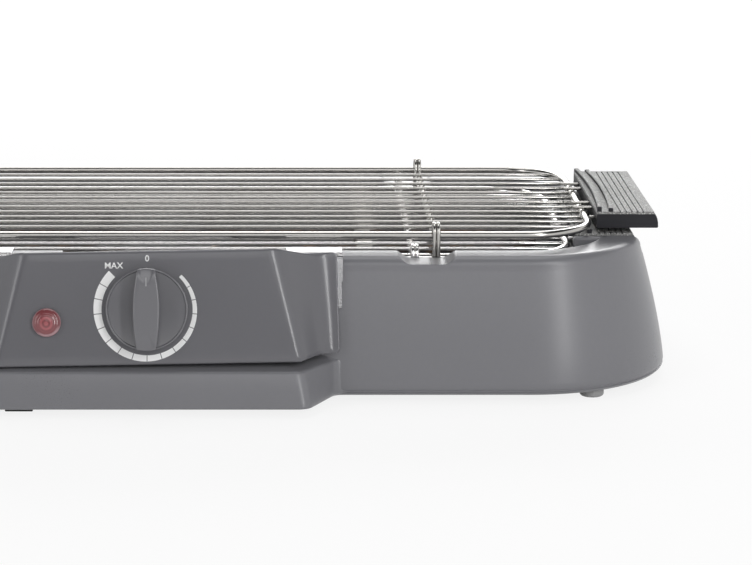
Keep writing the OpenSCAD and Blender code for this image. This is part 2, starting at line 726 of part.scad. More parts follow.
// The inlet for the cord in the control box's left flank; the cord itself is left out.
module cord_gland() {
  color([0.1, 0.1, 0.11])
  face_frame() translate([0, -4, -10]) rotate([0, -90, 0])
  difference() {
    union() {
      translate([0, 0, 69]) cylinder(d = 8, h = 18);
      translate([0, 0, 80.4]) cylinder(d = 11, h = 2.6);
      translate([0, 0, 83]) cylinder(d1 = 10, d2 = 8.4, h = 5);
    }
    translate([0, 0, 60]) cylinder(d = 5.6, h = 40);
  }
}

module spindle() {
  color([0.8, 0.8, 0.8])
  face_frame()
  difference() {
    translate([0, 0, -11]) cylinder(d = spindle_d, h = 11 + knob_gap + knob_t + 3.5);
    translate([-5, flat_cut, knob_gap + 0.4]) cube([10, 5, 12]);
  }
}

module knob() {
  r = knob_d / 2;
  color([0.42, 0.42, 0.44])
  face_frame()
  difference() {
    union() {
      translate([0, 0, knob_gap]) rotate_extrude()
        polygon([[0, 0], [r - 0.4, 0], [r, 0.6], [r, knob_t - 1.2], [r - 0.4, knob_t - 0.3], [r - 1.3, knob_t],
          [r - 2.2, knob_t - 0.5], [r - 6, knob_t - 0.9], [0, knob_t - 0.9]]);
      intersection() {
        translate([0, 0, knob_gap]) cylinder(r1 = r, r2 = r - 1.5, h = knob_t + grip_h);
        rotate([90, 0, 90]) translate([0, 0, -grip_w]) linear_extrude(2 * grip_w)
          polygon([[-r, knob_gap + 1], [r, knob_gap + 1], [r, knob_gap + knob_t + grip_h - 1],
            [r - 2, knob_gap + knob_t + grip_h], [-r + 2, knob_gap + knob_t + grip_h - 1.5], [-r, knob_gap + knob_t + grip_h - 3]]);
        intersection_for (s = [-1, 1])
          translate([s * (grip_side() - grip_w / 2), 0, 0]) cylinder(r = grip_side(), h = over, $fn = 96);
      }
    }
    difference() {
      translate([0, 0, -1]) cylinder(d = spindle_d + 2 * seat, h = 1 + knob_gap + knob_t + 3.6);
      translate([-5, flat_cut + seat, knob_gap + 0.3]) cube([10, 5, 12]);
    }
    translate([-0.5, r - 9, knob_gap + knob_t + grip_h - 0.4]) cube([1, 4.6, 2]);
  }
}

// Radius of the grip's bowed sides, for ends three quarters as wide as the middle.
function grip_side() = let (sag = grip_w * 0.16, h = knob_d / 2) (h * h + sag * sag) / (2 * sag);

module knob_pointer() {
  color([0.85, 0.85, 0.85])
  face_frame() translate([-0.45, knob_d / 2 - 8.95, knob_gap + knob_t + grip_h - 0.4 + seat]) cube([0.9, 4.5, 0.36]);
}

module place(k) { translate(rack_places[k]) children(); }

module rack_frame() {
  x = rack_hx - rack_r;
  y = rack_hy - rack_r;
  color([0.86, 0.86, 0.86])
  translate([0, 0, -frame_drop]) {
    for (s = [-1, 1]) {
      bar([-x, s * rack_hy, 0], [x, s * rack_hy, 0], frame_d);
      bar([s * rack_hx, -y, 0], [s * rack_hx, y, 0], frame_d);
    }
    for (k = [0 : 3]) translate([k == 0 || k == 3 ? x : -x, k < 2 ? y : -y, 0]) bend(rack_r, frame_d, 90 * k, 90);
  }
}

// Where a rod at depth y ends against the frame.
function rod_end(y) =
  let (r = rack_r - frame_rr, v = abs(y) + rod_d / 2 - (rack_hy - rack_r))
  v <= 0 ? rack_hx - frame_rr - seat : rack_hx - rack_r + sqrt(max(r * r - v * v, 1)) - seat;

// The rods, and the short wires that tie the handles to the frame's ends.
module rack_rods() {
  tie_z = frame_rr - frame_drop + rod_d / 2 + seat;
  color([0.9, 0.9, 0.9]) {
    for (i = [0 : rod_n - 1])
      let (y = (i - (rod_n - 1) / 2) * rod_pitch) bar([-rod_end(y), y, 0], [rod_end(y), y, 0], rod_d);
    for (s = [-1, 1], t = [-1, 1]) {
      for (k = tie_rows)
        bar([s * (rack_hx - 4.5), t * k * rod_pitch, tie_z], [s * (handle_x + 4.5), t * k * rod_pitch, tie_z], rod_d);
      bar([s * (rack_hx + frame_rr + seat), t * pin_row * rod_pitch, 0],
        [s * (handle_x + 4.5), t * pin_row * rod_pitch, 0], rod_d);
    }
  }
}

// One half of a leg wire, from the rack's middle to the leg's foot, in the YZ plane at x.
module leg_half(x) {
  z0 = -rod_d / 2 - leg_rr - 2 * seat;
  z1 = leg_top - leg_rr - leg_bend;
  y0 = rack_hy - leg_bend;
  r = 3;
  bar([x, 0, z0], [x, y0 - r, z0], leg_d);
  translate([x, y0 - r, z0 + r]) rotate([90, 0, 90]) bend(r, leg_d, -90, 90);
  if (z1 - z0 - r > 0.01) bar([x, y0, z0 + r], [x, y0, z1], leg_d);
  translate([x, rack_hy, z1]) rotate([90, 0, 90]) bend(leg_bend, leg_d, 0, 180);
  bar([x, leg_y, z1], [x, leg_y, -leg_low + leg_rr], leg_d);
  translate([x, leg_y, -leg_low + leg_rr]) sphere(d = leg_d);
}

// Two paired wires that run under the rods, loop over the frame and stand in the sockets.
module rack_legs() {
  color([0.9, 0.9, 0.9])
  for (s = [-1, 1], o = [-1, 1], t = [0, 1])
    mirror([0, t, 0]) leg_half(s * leg_x + o * leg_gap);
}

module handle_body(s) {
  w = handle_w / 2;
  x1 = handle_l;
  color([0.13, 0.13, 0.14])
  mirror([s > 0 ? 0 : 1, 0, 0]) translate([handle_x, 0, 0])
  difference() {
    rotate([90, 0, 0]) linear_extrude(handle_w, center = true)
      polygon(concat([[0.4, -handle_low], [x1 - 0.5, -handle_low], [x1, -handle_low + 0.6]],
        [for (a = [0 : 15 : 60]) [x1 - 3 + 3 * cos(a) - 0.1, -handle_low + 1 + (handle_up + handle_low - 1) * sin(a) / sin(60)]],
        [[0, handle_up], [0, -handle_low + 0.4]]));
    translate([8, -w + 4, -handle_low - 1]) cube([x1 - 14, handle_w - 8, handle_low + 1.4]);
    for (t = [-1, 1]) {
      for (k = tie_rows)
        bar([-1, t * k * rod_pitch, frame_rr - frame_drop + rod_d / 2 + seat],
          [5, t * k * rod_pitch, frame_rr - frame_drop + rod_d / 2 + seat], rod_d + 2 * fit);
      bar([-1, t * pin_row * rod_pitch, 0], [5, t * pin_row * rod_pitch, 0], rod_d + 2 * fit);
    }
    for (k = [-1, 1]) translate([20, k * plug_y, 0]) cylinder(d = 3 + 2 * fit, h = over);
  }
}

// The light top plate of a handle, with long grooves and two bowed fins on the side of the food.
module grip_plate(s) {
  w = handle_w / 2;
  top = handle_l - 1.7;
  color([0.66, 0.66, 0.66])
  mirror([s > 0 ? 0 : 1, 0, 0]) translate([handle_x, 0, handle_up + seat]) {
    difference() {
      translate([0, -w, 0]) cube([top - 0.3, handle_w, plate_t]);
      for (i = [0 : groove_n - 1])
        translate([11 + i * groove_pitch, -w - 1, plate_t - 0.6]) cube([0.9, handle_w + 2, 2]);
    }
    for (k = [-1, 1]) translate([20, k * plug_y, -2.4]) cylinder(d = 3, h = 2.5);
    fin(0.3, fin_h1);
    fin(5.8, fin_h2);
  }
}

// A fin bowed by 2 mm in plan, its ends towards the rack.
module fin(x, h) {
  w = handle_w / 2;
  r = (w * w + 4) / 4;
  intersection() {
    translate([x, -w, plate_t - 0.2]) cube([fin_t + 2.2, handle_w, h + 0.2]);
    difference() {
      translate([x + 2 + fin_t - r, 0, 0]) cylinder(r = r, h = over, $fn = 200);
      translate([x + 2 - r, 0, -1]) cylinder(r = r, h = over + 2, $fn = 200);
    }
  }
}

housing();
base_cover();
base_screws();
feet();
cord_side_pad();
reflector();
element();
element_strips();
terminals();
neck();
hanger();
control_cover();
cover_screws();
thermostat();
terminal_block();
leads();
pilot_lens();
pilot_lamp();
cord_gland();
spindle();
knob();
knob_pointer();
place(0) rack_frame();  // lower_frame
place(0) rack_rods();  // lower_rods
place(0) rack_legs();  // lower_legs
place(0) handle_body(-1);  // lower_handle_left
place(0) handle_body(1);  // lower_handle_right
place(0) grip_plate(-1);  // lower_grip_left
place(0) grip_plate(1);  // lower_grip_right
place(1) rack_frame();  // upper_frame
place(1) rack_rods();  // upper_rods
place(1) rack_legs();  // upper_legs
place(1) handle_body(-1);  // upper_handle_left
place(1) handle_body(1);  // upper_handle_right
place(1) grip_plate(-1);  // upper_grip_left
place(1) grip_plate(1);  // upper_grip_right
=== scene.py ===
"""Looks of an electric table grill: grey tub, hanging heater, reflector tray and two wire racks.

Every length is in millimetres in the object's own frame (+Z up, +X to the right, -Y to the user) until a
mesh is written, which is in metres. New pieces are closed surfaces worked out with numpy as rings of
points. Small CAD solids are kept as copies with rounded edges.
"""

import logging
import math
from dataclasses import dataclass
from enum import Enum
from typing import Callable, Optional, Sequence, Union

import bmesh
import bpy
import numpy as np
from mathutils import Euler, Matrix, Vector


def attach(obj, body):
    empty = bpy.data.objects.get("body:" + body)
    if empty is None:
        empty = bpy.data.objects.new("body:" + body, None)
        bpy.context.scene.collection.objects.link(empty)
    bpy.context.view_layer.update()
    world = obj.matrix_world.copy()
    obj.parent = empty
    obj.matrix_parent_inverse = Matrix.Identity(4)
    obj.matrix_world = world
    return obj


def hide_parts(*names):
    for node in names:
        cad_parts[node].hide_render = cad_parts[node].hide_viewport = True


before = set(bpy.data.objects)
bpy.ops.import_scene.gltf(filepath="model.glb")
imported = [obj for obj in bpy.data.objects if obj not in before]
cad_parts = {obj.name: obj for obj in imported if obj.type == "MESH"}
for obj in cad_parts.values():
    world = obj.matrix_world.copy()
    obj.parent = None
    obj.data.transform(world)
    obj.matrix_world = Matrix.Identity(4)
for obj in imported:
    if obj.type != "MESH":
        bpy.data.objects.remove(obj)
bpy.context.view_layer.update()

logging.basicConfig(level=logging.INFO, format="%(message)s")
LOG = logging.getLogger("grill")
Array = np.ndarray
Colour = tuple[float, float, float]
MM = 0.001

# The control box's face: its tilt in degrees, and the knob's centre on it
FACE_TILT = 13.5
FACE_Y = 130.7
FACE_Z = 48.8


# Curves and surfaces

def unit(v: Array) -> Array:
    """Each vector of v scaled to length 1."""
    return v / np.maximum(np.linalg.norm(v, axis=-1, keepdims=True), 1e-12)


def smooth(x: Array) -> Array:
    """0 below 0, 1 above 1, and 3x^2 - 2x^3 between."""
    x = np.clip(x, 0, 1)
    return x * x * (3 - 2 * x)


def window(x: Array, half: float, soft: float) -> Array:
    """1 where |x| is under half, falling smoothly to 0 at half + soft."""
    return 1 - smooth((np.abs(x) - half) / soft)


def lower_of(a: Array, b: Array, soft: float) -> Array:
    """The lower of a and b with the crossing rounded: -k log(exp(-a/k) + exp(-b/k)) for k = soft."""
    return -soft * np.logaddexp(-a / soft, -b / soft)


def rounded(corners: Sequence, radius: Union[float, Sequence], steps: int = 6,
            closed: bool = True) -> Array:
    """A polyline with an arc at every corner.

    The arc's centre lies on the corner's bisector at r / sin(half the corner's angle), and its points are
    the spherical blend of the two tangent points as seen from that centre.

    Args:
        corners: The corner points, in two or three dimensions.
        radius: One radius, or one for each corner that is rounded.
        steps: Points on each arc.
        closed: Whether the last corner joins the first.

    Returns:
        The points of the polyline.
    """
    p = np.asarray(corners, float)
    before, inner, after = (np.roll(p, 1, 0), p, np.roll(p, -1, 0)) if closed else (p[:-2], p[1:-1], p[2:])
    a, b = unit(before - inner), unit(after - inner)
    half = 0.5 * np.arccos(np.clip((a * b).sum(-1, keepdims=True), -0.999999, 0.999999))
    r = np.broadcast_to(np.asarray(radius, float).reshape(-1, 1), half.shape)
    centre = inner + unit(a + b) * (r / np.sin(half))
    start, end = inner + a * (r / np.tan(half)) - centre, inner + b * (r / np.tan(half)) - centre
    turn = (np.pi - 2 * half)[:, :, None]
    w = np.linspace(0, 1, steps)[None, :, None]
    arc = (np.sin((1 - w) * turn) * start[:, None] + np.sin(w * turn) * end[:, None]) / np.sin(turn)
    points = (arc + centre[:, None]).reshape(-1, p.shape[1])
    return points if closed else np.vstack([p[:1], points, p[-1:]])


@dataclass
class Surface:
    """A mesh in millimetres: its points, and its faces as lists of point numbers."""

    points: Array
    faces: list

    @classmethod
    def from_rings(cls, rings: Array, loop: bool = False) -> "Surface":
        """Closed rings of points joined by quads, with a flat face over the first and the last ring.

        Args:
            rings: Points as (level, place on the ring, 3).
            loop: Whether the last ring joins the first, in place of the two end faces.

        Returns:
            The surface.
        """
        n, m, _ = rings.shape
        i = np.arange(n if loop else n - 1)[:, None]
        j = np.arange(m)[None, :]
        k, nxt = (i + 1) % n, (j + 1) % m
        faces = np.stack([i * m + j, i * m + nxt, k * m + nxt, k * m + j], -1).reshape(-1, 4).tolist()
        if not loop:
            faces += [list(range(m))[::-1], list(range((n - 1) * m, n * m))]
        return cls(rings.reshape(-1, 3), faces)

    def __add__(self, other: "Surface") -> "Surface":
        """Both surfaces as one.

        Args:
            other: The surface to add.

        Returns:
            Both surfaces as one.
        """
        n = len(self.points)
        faces = self.faces + [[v + n for v in f] for f in other.faces]
        return Surface(np.vstack([self.points, other.points]), faces)

    def changed(self, change: Callable[[Array], Array]) -> "Surface":
        """The same faces on points that change has moved."""
        return Surface(change(self.points), self.faces)


def joined(surfaces: Sequence[Surface]) -> Surface:
    """All the surfaces as one.

    Args:
        surfaces: The surfaces, at least one.

    Returns:
        One surface with all their points and faces.
    """
    total = surfaces[0]
    for s in surfaces[1:]:
        total = total + s
    return total


def tube(path: Array, radius: float, up: Sequence, sides: int = 14, loop: bool = False,
         dome: float = 0.5) -> Surface:
    """A round wire along a path that lies in one plane.

    A point is path + r (n cos a + b sin a), where n is up x tangent and b is tangent x n. An open wire's
    ends are half domes: rings of radius r cos f that stand dome r sin f beyond the end.

    Args:
        path: The wire's axis, as (station, 3).
        radius: The wire's radius.
        up: The normal of the path's plane.
        sides: Points round the wire.
        loop: Whether the path is closed.
        dome: Height of an end's dome as a share of the radius.

    Returns:
        The wire's surface.
    """
    if loop:
        t = unit(np.roll(path, -1, 0) - np.roll(path, 1, 0))
    else:
        t = unit(np.gradient(path, axis=0))
    n = unit(np.cross(np.asarray(up, float), t))
    b = np.cross(t, n)
    a = np.linspace(0, 2 * np.pi, sides, endpoint=False)[None, :, None]
    r = np.full(len(path), radius)
    if not loop:
        f = np.radians([78, 50, 22])
        r = np.concatenate([radius * np.cos(f), r, radius * np.cos(f)[::-1]])
        out = (dome * radius * np.sin(f))[:, None]
        path = np.vstack([path[:1] - t[:1] * out, path, path[-1:] + t[-1:] * out[::-1]])
        n = np.vstack([n[:1].repeat(3, 0), n, n[-1:].repeat(3, 0)])
        b = np.vstack([b[:1].repeat(3, 0), b, b[-1:].repeat(3, 0)])
    rings = path[:, None] + r[:, None, None] * (np.cos(a) * n[:, None] + np.sin(a) * b[:, None])
    return Surface.from_rings(rings, loop)


def lathe(profile: Sequence, sides: int = 96) -> Surface:
    """A profile of (radius, height) turned round +Z: point = (r cos a, r sin a, z).

    Args:
        profile: The section, as radius and height.
        sides: Points round the axis.

    Returns:
        The turned surface.
    """
    p = np.asarray(profile, float)
    a = np.linspace(0, 2 * np.pi, sides, endpoint=False)
    r = np.maximum(p[:, 0], 0.02)[:, None]
    height = np.broadcast_to(p[:, 1:2], (len(p), sides))
    return Surface.from_rings(np.stack([r * np.cos(a), r * np.sin(a), height], -1))


def slab(xs: Array, ys: Array, top: Callable[[Array, Array], Array], bottom: float) -> Surface:
    """A block whose upper side is z = top(x, y) over a grid and whose underside is flat at bottom.

    Args:
        xs: Grid lines along X, ascending.
        ys: Grid lines along Y, ascending.
        top: Height over the grid, worked out for whole arrays.
        bottom: Height of the underside.

    Returns:
        The block, as one ring of points for each grid line along Y.
    """
    x, y = np.meshgrid(xs, ys)
    upper = np.stack([x, y, top(x, y)], -1)
    lower = np.stack([x[:, [-1, 0]], y[:, [-1, 0]], np.full((len(ys), 2), bottom)], -1)
    return Surface.from_rings(np.concatenate([upper, lower], 1))


# Shader maths

class Value:
    """A shader socket that takes part in Python arithmetic: each operator adds a Math node."""

    def __init__(self, tree: "Tree", socket: bpy.types.NodeSocket) -> None:
        """Wraps a socket of a tree."""
        self.tree, self.socket = tree, socket

    def _math(self, operation: str, a: object, b: object = 0.0) -> "Value":
        """A Math node's result for a and b."""
        return self.tree.value("ShaderNodeMath", {"operation": operation}, {0: a, 1: b})

    def __add__(self, other: object) -> "Value":
        """Sum."""
        return self._math("ADD", self, other)

    def __sub__(self, other: object) -> "Value":
        """Difference."""
        return self._math("SUBTRACT", self, other)

    def __rsub__(self, other: object) -> "Value":
        """Difference from a number."""
        return self._math("SUBTRACT", other, self)

    def __mul__(self, other: object) -> "Value":
        """Product."""
        return self._math("MULTIPLY", self, other)

    def __truediv__(self, other: object) -> "Value":
        """Quotient."""
        return self._math("DIVIDE", self, other)

    def __pow__(self, other: object) -> "Value":
        """Power."""
        return self._math("POWER", self, other)

    def __abs__(self) -> "Value":
        """Size without its sign."""
        return self._math("ABSOLUTE", self)

    __radd__, __rmul__ = __add__, __mul__

    def sine(self) -> "Value":
        """Sine of the value in radians."""
        return self._math("SINE", self)

    def step(self, low: float, high: float) -> "Value":
        """0 at low and 1 at high, smooth between; high may be the smaller."""
        return self.tree.value("ShaderNodeMapRange", {"interpolation_type": "SMOOTHSTEP"},
                               {"Value": self, "From Min": low, "From Max": high})


class Tree:
    """The nodes of a material or of the world."""

    def __init__(self, owner: Union[str, bpy.types.World]) -> None:
        """Empties the nodes of a world, or of a new material.

        Args:
            owner: The world, or the new material's name.
        """
        self.owner = bpy.data.materials.new(owner) if isinstance(owner, str) else owner
        self.owner.use_nodes = True
        self.net = self.owner.node_tree
        self.net.nodes.clear()

    def node(self, kind: str, settings: Optional[dict] = None,
             inputs: Optional[dict] = None) -> bpy.types.Node:
        """Adds a node.

        Args:
            kind: The node's type.
            settings: Its properties, set before its sockets.
            inputs: Its sockets' numbers, colours or links, by name or number.

        Returns:
            The node.
        """
        made = self.net.nodes.new(kind)
        for key, setting in (settings or {}).items():
            setattr(made, key, setting)
        for key, given in (inputs or {}).items():
            if isinstance(given, Value):
                self.net.links.new(given.socket, made.inputs[key])
            else:
                made.inputs[key].default_value = given
        return made

    def value(self, kind: str, settings: Optional[dict] = None, inputs: Optional[dict] = None,
              output: Union[int, str] = 0) -> Value:
        """Adds a node and returns one of its outputs as a Value."""
        return Value(self, self.node(kind, settings, inputs).outputs[output])

    def place(self) -> Value:
        """The point on the surface, in metres in the object's frame."""
        return self.value("ShaderNodeTexCoord", output="Object")

    def axes(self) -> tuple[Value, Value, Value]:
        """The point's X, Y and Z."""
        split = self.node("ShaderNodeSeparateXYZ", inputs={0: self.place()})
        return tuple(Value(self, s) for s in split.outputs)

    def noise(self, size: float, detail: float = 2.0, stretch: Sequence = (1, 1, 1)) -> Value:
        """Smooth noise from 0 to 1.

        Args:
            size: Size of the features in millimetres.
            detail: How many finer layers there are.
            stretch: How far the features are drawn out along X, Y and Z.

        Returns:
            The noise.
        """
        scale = [1 / s for s in stretch]
        at = self.value("ShaderNodeMapping", inputs={"Vector": self.place(), "Scale": scale})
        return self.value("ShaderNodeTexNoise",
                          inputs={"Vector": at, "Scale": 1 / (size * MM), "Detail": detail})

    def mix(self, share: Value, a: Union[Colour, Value], b: Union[Colour, Value]) -> Value:
        """Colour a where share is 0 and b where it is 1."""
        a, b = (c if isinstance(c, Value) else (*c, 1.0) for c in (a, b))
        return self.value("ShaderNodeMix", {"data_type": "RGBA"}, {0: share, 6: a, 7: b}, 2)

    def finish(self, shader: dict, height: Optional[Value] = None,
               depth: float = 0.0) -> bpy.types.Material:
        """Closes the material with a Principled shader.

        Args:
            shader: The shader's sockets, by name.
            height: Relief from 0 to 1.
            depth: The relief's depth in millimetres.

        Returns:
            The material.
        """
        inputs = dict(shader)
        if height is not None:
            relief = {"Height": height, "Distance": depth * MM}
            inputs["Normal"] = self.value("ShaderNodeBump", inputs=relief)
        made = self.value("ShaderNodeBsdfPrincipled", inputs=inputs)
        self.node("ShaderNodeOutputMaterial", inputs={0: made})
        return self.owner

    def seen(self) -> Value:
        """Tells rays that show the background from those that light the object.

        Returns:
            1 or more for camera, glossy and transmission rays, and 0 for the rest.
        """
        rays = self.node("ShaderNodeLightPath").outputs
        return (Value(self, rays["Is Camera Ray"]) + Value(self, rays["Is Glossy Ray"])
                + Value(self, rays["Is Transmission Ray"]))


def shade(colour: Colour, factor: float) -> Colour:
    """The colour made lighter or darker."""
    return tuple(min(1.0, c * factor) for c in colour)


# Finishes

class Lie(Enum):
    """The direction in which a metal's fine lines lie."""

    NONE = (1, 1, 1)
    ALONG_X = (40, 1, 1)
    ALONG_Y = (1, 40, 1)


@dataclass(frozen=True)
class Moulded:
    """Moulded plastic or rubber with an eroded grain."""

    name: str
    colour: Colour
    roughness: float = 0.5
    grain: float = 0.4
    depth: float = 0.02
    mottle: float = 0.04
    coat: float = 0.0
    # Whether shade is painted into the pockets of the well's wall slots
    slots: bool = False
    shine: float = 0.5

    def material(self) -> bpy.types.Material:
        """Grain from two noises, a slow drift of tone and gloss, and painted shade in the wall slots'
        pockets.

        Returns:
            The material.
        """
        t = Tree(self.name)
        fine, medium, slow = t.noise(self.grain), t.noise(self.grain * 5, 3), t.noise(70, 3)
        dark, light = shade(self.colour, 1 - self.mottle), shade(self.colour, 1 + self.mottle)
        tone = t.mix(0.5 * slow + 0.5 * medium, dark, light)
        if self.slots:
            # Painted shade in the slots' pockets, in metres: beyond the well's wall, within the slots'
            # height and short of the corners
            x, y, z = t.axes()
            inside = abs(y).step(0.0884, 0.0892) * abs(y).step(0.0935, 0.093) * z.step(0.0508, 0.0515)
            inside = inside * z.step(0.0622, 0.0615) * abs(x).step(0.1755, 0.175)
            # The pockets' floors are painted near black as shade
            tone = t.mix(inside, tone, shade(self.colour, 0.12))
        gloss = self.roughness + 0.1 * (slow - 0.5) + 0.14 * (fine - 0.5)
        shader = {"Base Color": tone, "Roughness": gloss, "Specular IOR Level": self.shine,
                  "Coat Weight": self.coat, "Coat Roughness": 0.12}
        return t.finish(shader, 0.7 * fine + 0.3 * medium, self.depth)


@dataclass(frozen=True)
class Metal:
    """Bare or plated metal with fine lines or an even polish."""

    name: str
    colour: Colour
    roughness: float = 0.25
    lie: Lie = Lie.NONE
    line: float = 0.15
    depth: float = 0.004
    stain: float = 0.05

    def material(self) -> bpy.types.Material:
        """Lines drawn out along one axis in the relief and the gloss, over a slow drift of tone.

        Returns:
            The material.
        """
        t = Tree(self.name)
        lines, slow = t.noise(self.line, 2, self.lie.value), t.noise(24, 3)
        tone = t.mix(slow, shade(self.colour, 1 - self.stain), shade(self.colour, 1 + self.stain))
        gloss = self.roughness * (0.7 + 0.4 * lines + 0.2 * slow)
        return t.finish({"Base Color": tone, "Metallic": 1.0, "Roughness": gloss}, lines, self.depth)


@dataclass(frozen=True)
class Pebbled:
    """Light plastic with a pebbled, glinting surface, as on the grips."""

    name: str
    colour: Colour
    pebble: float

    def material(self) -> bpy.types.Material:
        """Round pebbles from a Voronoi pattern: pale on top, darker in the joints between them.

        Returns:
            The material.
        """
        t = Tree(self.name)
        cells = t.value("ShaderNodeTexVoronoi", {"feature": "F1"},
                        {"Vector": t.place(), "Scale": 1 / (self.pebble * MM)})
        high, slow = cells.step(0.55, 0.1), t.noise(12, 3)
        tone = t.mix(high, shade(self.colour, 0.45), shade(self.colour, 1.35))
        gloss = 0.5 + 0.2 * slow - 0.1 * high
        return t.finish({"Base Color": tone, "Roughness": gloss, "Specular IOR Level": 0.15}, high, 0.18)


@dataclass(frozen=True)
class Scorched:
    """Heat-darkened steel of the heating tube: oxide with paler, browner places."""

    name: str
    colour: Colour
    tint: Colour

    def material(self) -> bpy.types.Material:
        """Two oxide tones mixed by noise, half metal, with a fine scale in the relief.

        Returns:
            The material.
        """
        t = Tree(self.name)
        spots, scale = t.noise(9, 4), t.noise(0.6, 3)
        tone = t.mix(spots.step(0.4, 0.7), self.colour, self.tint)
        return t.finish({"Base Color": tone, "Metallic": 0.55 + 0.25 * spots,
                         "Roughness": 0.42 + 0.2 * scale}, scale, 0.02)


@dataclass(frozen=True)
class Lens:
    """The pilot lamp's dark red lens with rings inside it, and painted light: a pale rim and crescent where
    the light leaves it.
    """

    name: str
    colour: Colour
    # Colour of the painted light at the rim and in the crescent
    glow: Colour
    centre: tuple[float, float, float]
    radius: float

    def material(self) -> bpy.types.Material:
        """Tone by distance from the lens's axis, with painted light: a pale rim and a pale crescent below.

        Returns:
            The material.
        """
        t = Tree(self.name)
        x, _, z = t.axes()
        across = (x - self.centre[0] * MM) / (self.radius * MM)
        up = (z - self.centre[2] * MM) / (self.radius * MM)
        far = (across ** 2.0 + up ** 2.0) ** 0.5
        rings = 0.5 + 0.5 * (far * 21.0).sine()
        tone = t.mix(rings * far.step(0.7, 0.4), self.colour, shade(self.colour, 1.9))
        # Painted light: a pale crescent on the lower side, near the edge
        side = (0.25 * across - 0.9 * up).step(0.3, 0.7)
        tone = t.mix(side * far.step(0.72, 0.86) * 0.8, tone, self.glow)
        # Painted light: a pale rim all round the edge
        tone = t.mix(far.step(0.88, 0.97) * 0.6, tone, self.glow)
        return t.finish({"Base Color": tone, "Roughness": 0.16 + 0.08 * t.noise(3), "Coat Weight": 0.35,
                         "Coat Roughness": 0.1}, t.noise(2.5), 0.01)


# The housing's finish paints shade into the pockets of the wall slots
BODY_GREY = Moulded("housing_grey", (0.174, 0.174, 0.187), 0.31, 0.45, 0.014, 0.05, slots=True)
BOX_GREY = Moulded("box_grey", (0.128, 0.127, 0.139), 0.2, 0.35, 0.008, 0.04)
KNOB_GREY = Moulded("knob_grey", (0.137, 0.136, 0.148), 0.24, 0.35, 0.005, 0.03, coat=0.5)
CHARCOAL = Moulded("handle_charcoal", (0.024, 0.024, 0.028), 0.55, 0.5, 0.02, 0.06, shine=0.2)
LINE_GREY = Moulded("pointer_grey", (0.3, 0.3, 0.31), 0.5, 0.6, 0.005)
FOOT_GREY = Moulded("foot_grey", (0.3, 0.3, 0.3), 0.55, 0.6, 0.03, 0.05)
GRIP_GREY = Pebbled("grip_light_grey", (0.52, 0.52, 0.51), 0.8)
COVER_BLACK = Moulded("base_cover_black", (0.03, 0.03, 0.032), 0.6, 0.6, 0.05)
RUBBER = Moulded("rubber_black", (0.02, 0.02, 0.021), 0.75, 0.7, 0.04, 0.1)
NYLON = Moulded("terminal_nylon", (0.78, 0.76, 0.7), 0.5, 0.8, 0.02)
CERAMIC = Moulded("thermostat_ceramic", (0.75, 0.72, 0.65), 0.8, 0.3, 0.02)
SILICONE = Moulded("lead_silicone", (0.42, 0.1, 0.06), 0.6, 0.5, 0.02)
CARD_BLACK = Moulded("card_black", (0.03, 0.03, 0.03), 0.8, 8, 0.1)
INK = Moulded("dial_white", (0.82, 0.82, 0.82), 0.45, 0.3, 0.004, 0.03)
BULB = Moulded("lamp_glass", (0.9, 0.6, 0.42), 0.15, 0.5, 0.004, coat=1.0)
# One chrome painted as two copies: the lower rack's lighter copy is painted reflection, the upper rack's
# darker copy is painted shade
CHROME = Metal("rack_chrome", (0.86, 0.85, 0.84), 0.16, Lie.NONE, 30, 0.0004, 0.03)
SHADED_CHROME = Metal("rack_chrome_shaded", (0.46, 0.45, 0.43), 0.19, Lie.NONE, 30, 0.0004, 0.04)
BRIGHT_STEEL = Metal("hook_steel", (0.8, 0.8, 0.82), 0.16, Lie.ALONG_X, 0.2, 0.004)
SHEET_STEEL = Metal("neck_steel", (0.62, 0.62, 0.64), 0.32, Lie.ALONG_X, 0.2, 0.006)
STRIP_STEEL = Metal("strip_steel", (0.5, 0.48, 0.46), 0.38, Lie.ALONG_Y, 0.2, 0.006, 0.12)
# The reflector's colour is darkened as painted shade for the shaded inside of the well
ALUMINIUM = Metal("reflector_aluminium", (0.36, 0.36, 0.36), 0.42, Lie.ALONG_X, 0.25, 0.006, 0.06)
NICKEL = Metal("terminal_nickel", (0.75, 0.71, 0.6), 0.3)
ZINC = Metal("screw_zinc", (0.6, 0.6, 0.62), 0.35)
TUBE = Scorched("tube_scorched", (0.07, 0.065, 0.065), (0.16, 0.11, 0.08))
MATERIALS: dict[str, bpy.types.Material] = {}
Finish = Union[Moulded, Metal, Pebbled, Scorched, Lens]


def dressed(mesh: bpy.types.Mesh, finish: Finish) -> None:
    """Gives a mesh one finish in place of the materials it has, making each finish's material once.

    Args:
        mesh: The mesh.
        finish: Its finish.
    """
    if finish.name not in MATERIALS:
        MATERIALS[finish.name] = finish.material()
    mesh.materials.clear()
    mesh.materials.append(MATERIALS[finish.name])


@dataclass(frozen=True)
class Role:
    """Where a piece belongs: its body, its material slot and the CAD nodes that it stands for."""

    body: str
    slot: str
    nodes: tuple[str, ...] = ()


def settle(obj: bpy.types.Object, role: Role) -> bpy.types.Object:
    """Links a finished object, lets it ride on its body and hides the CAD nodes that it stands for.

    Args:
        obj: The finished object.
        role: Its body, slot and CAD nodes.

    Returns:
        The same object.
    """
    bpy.context.scene.collection.objects.link(obj)
    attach(obj, role.body)
    if role.nodes:
        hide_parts(*role.nodes)
    LOG.info("%s: %d faces on %s", obj.name, len(obj.data.polygons), role.body)
    return obj


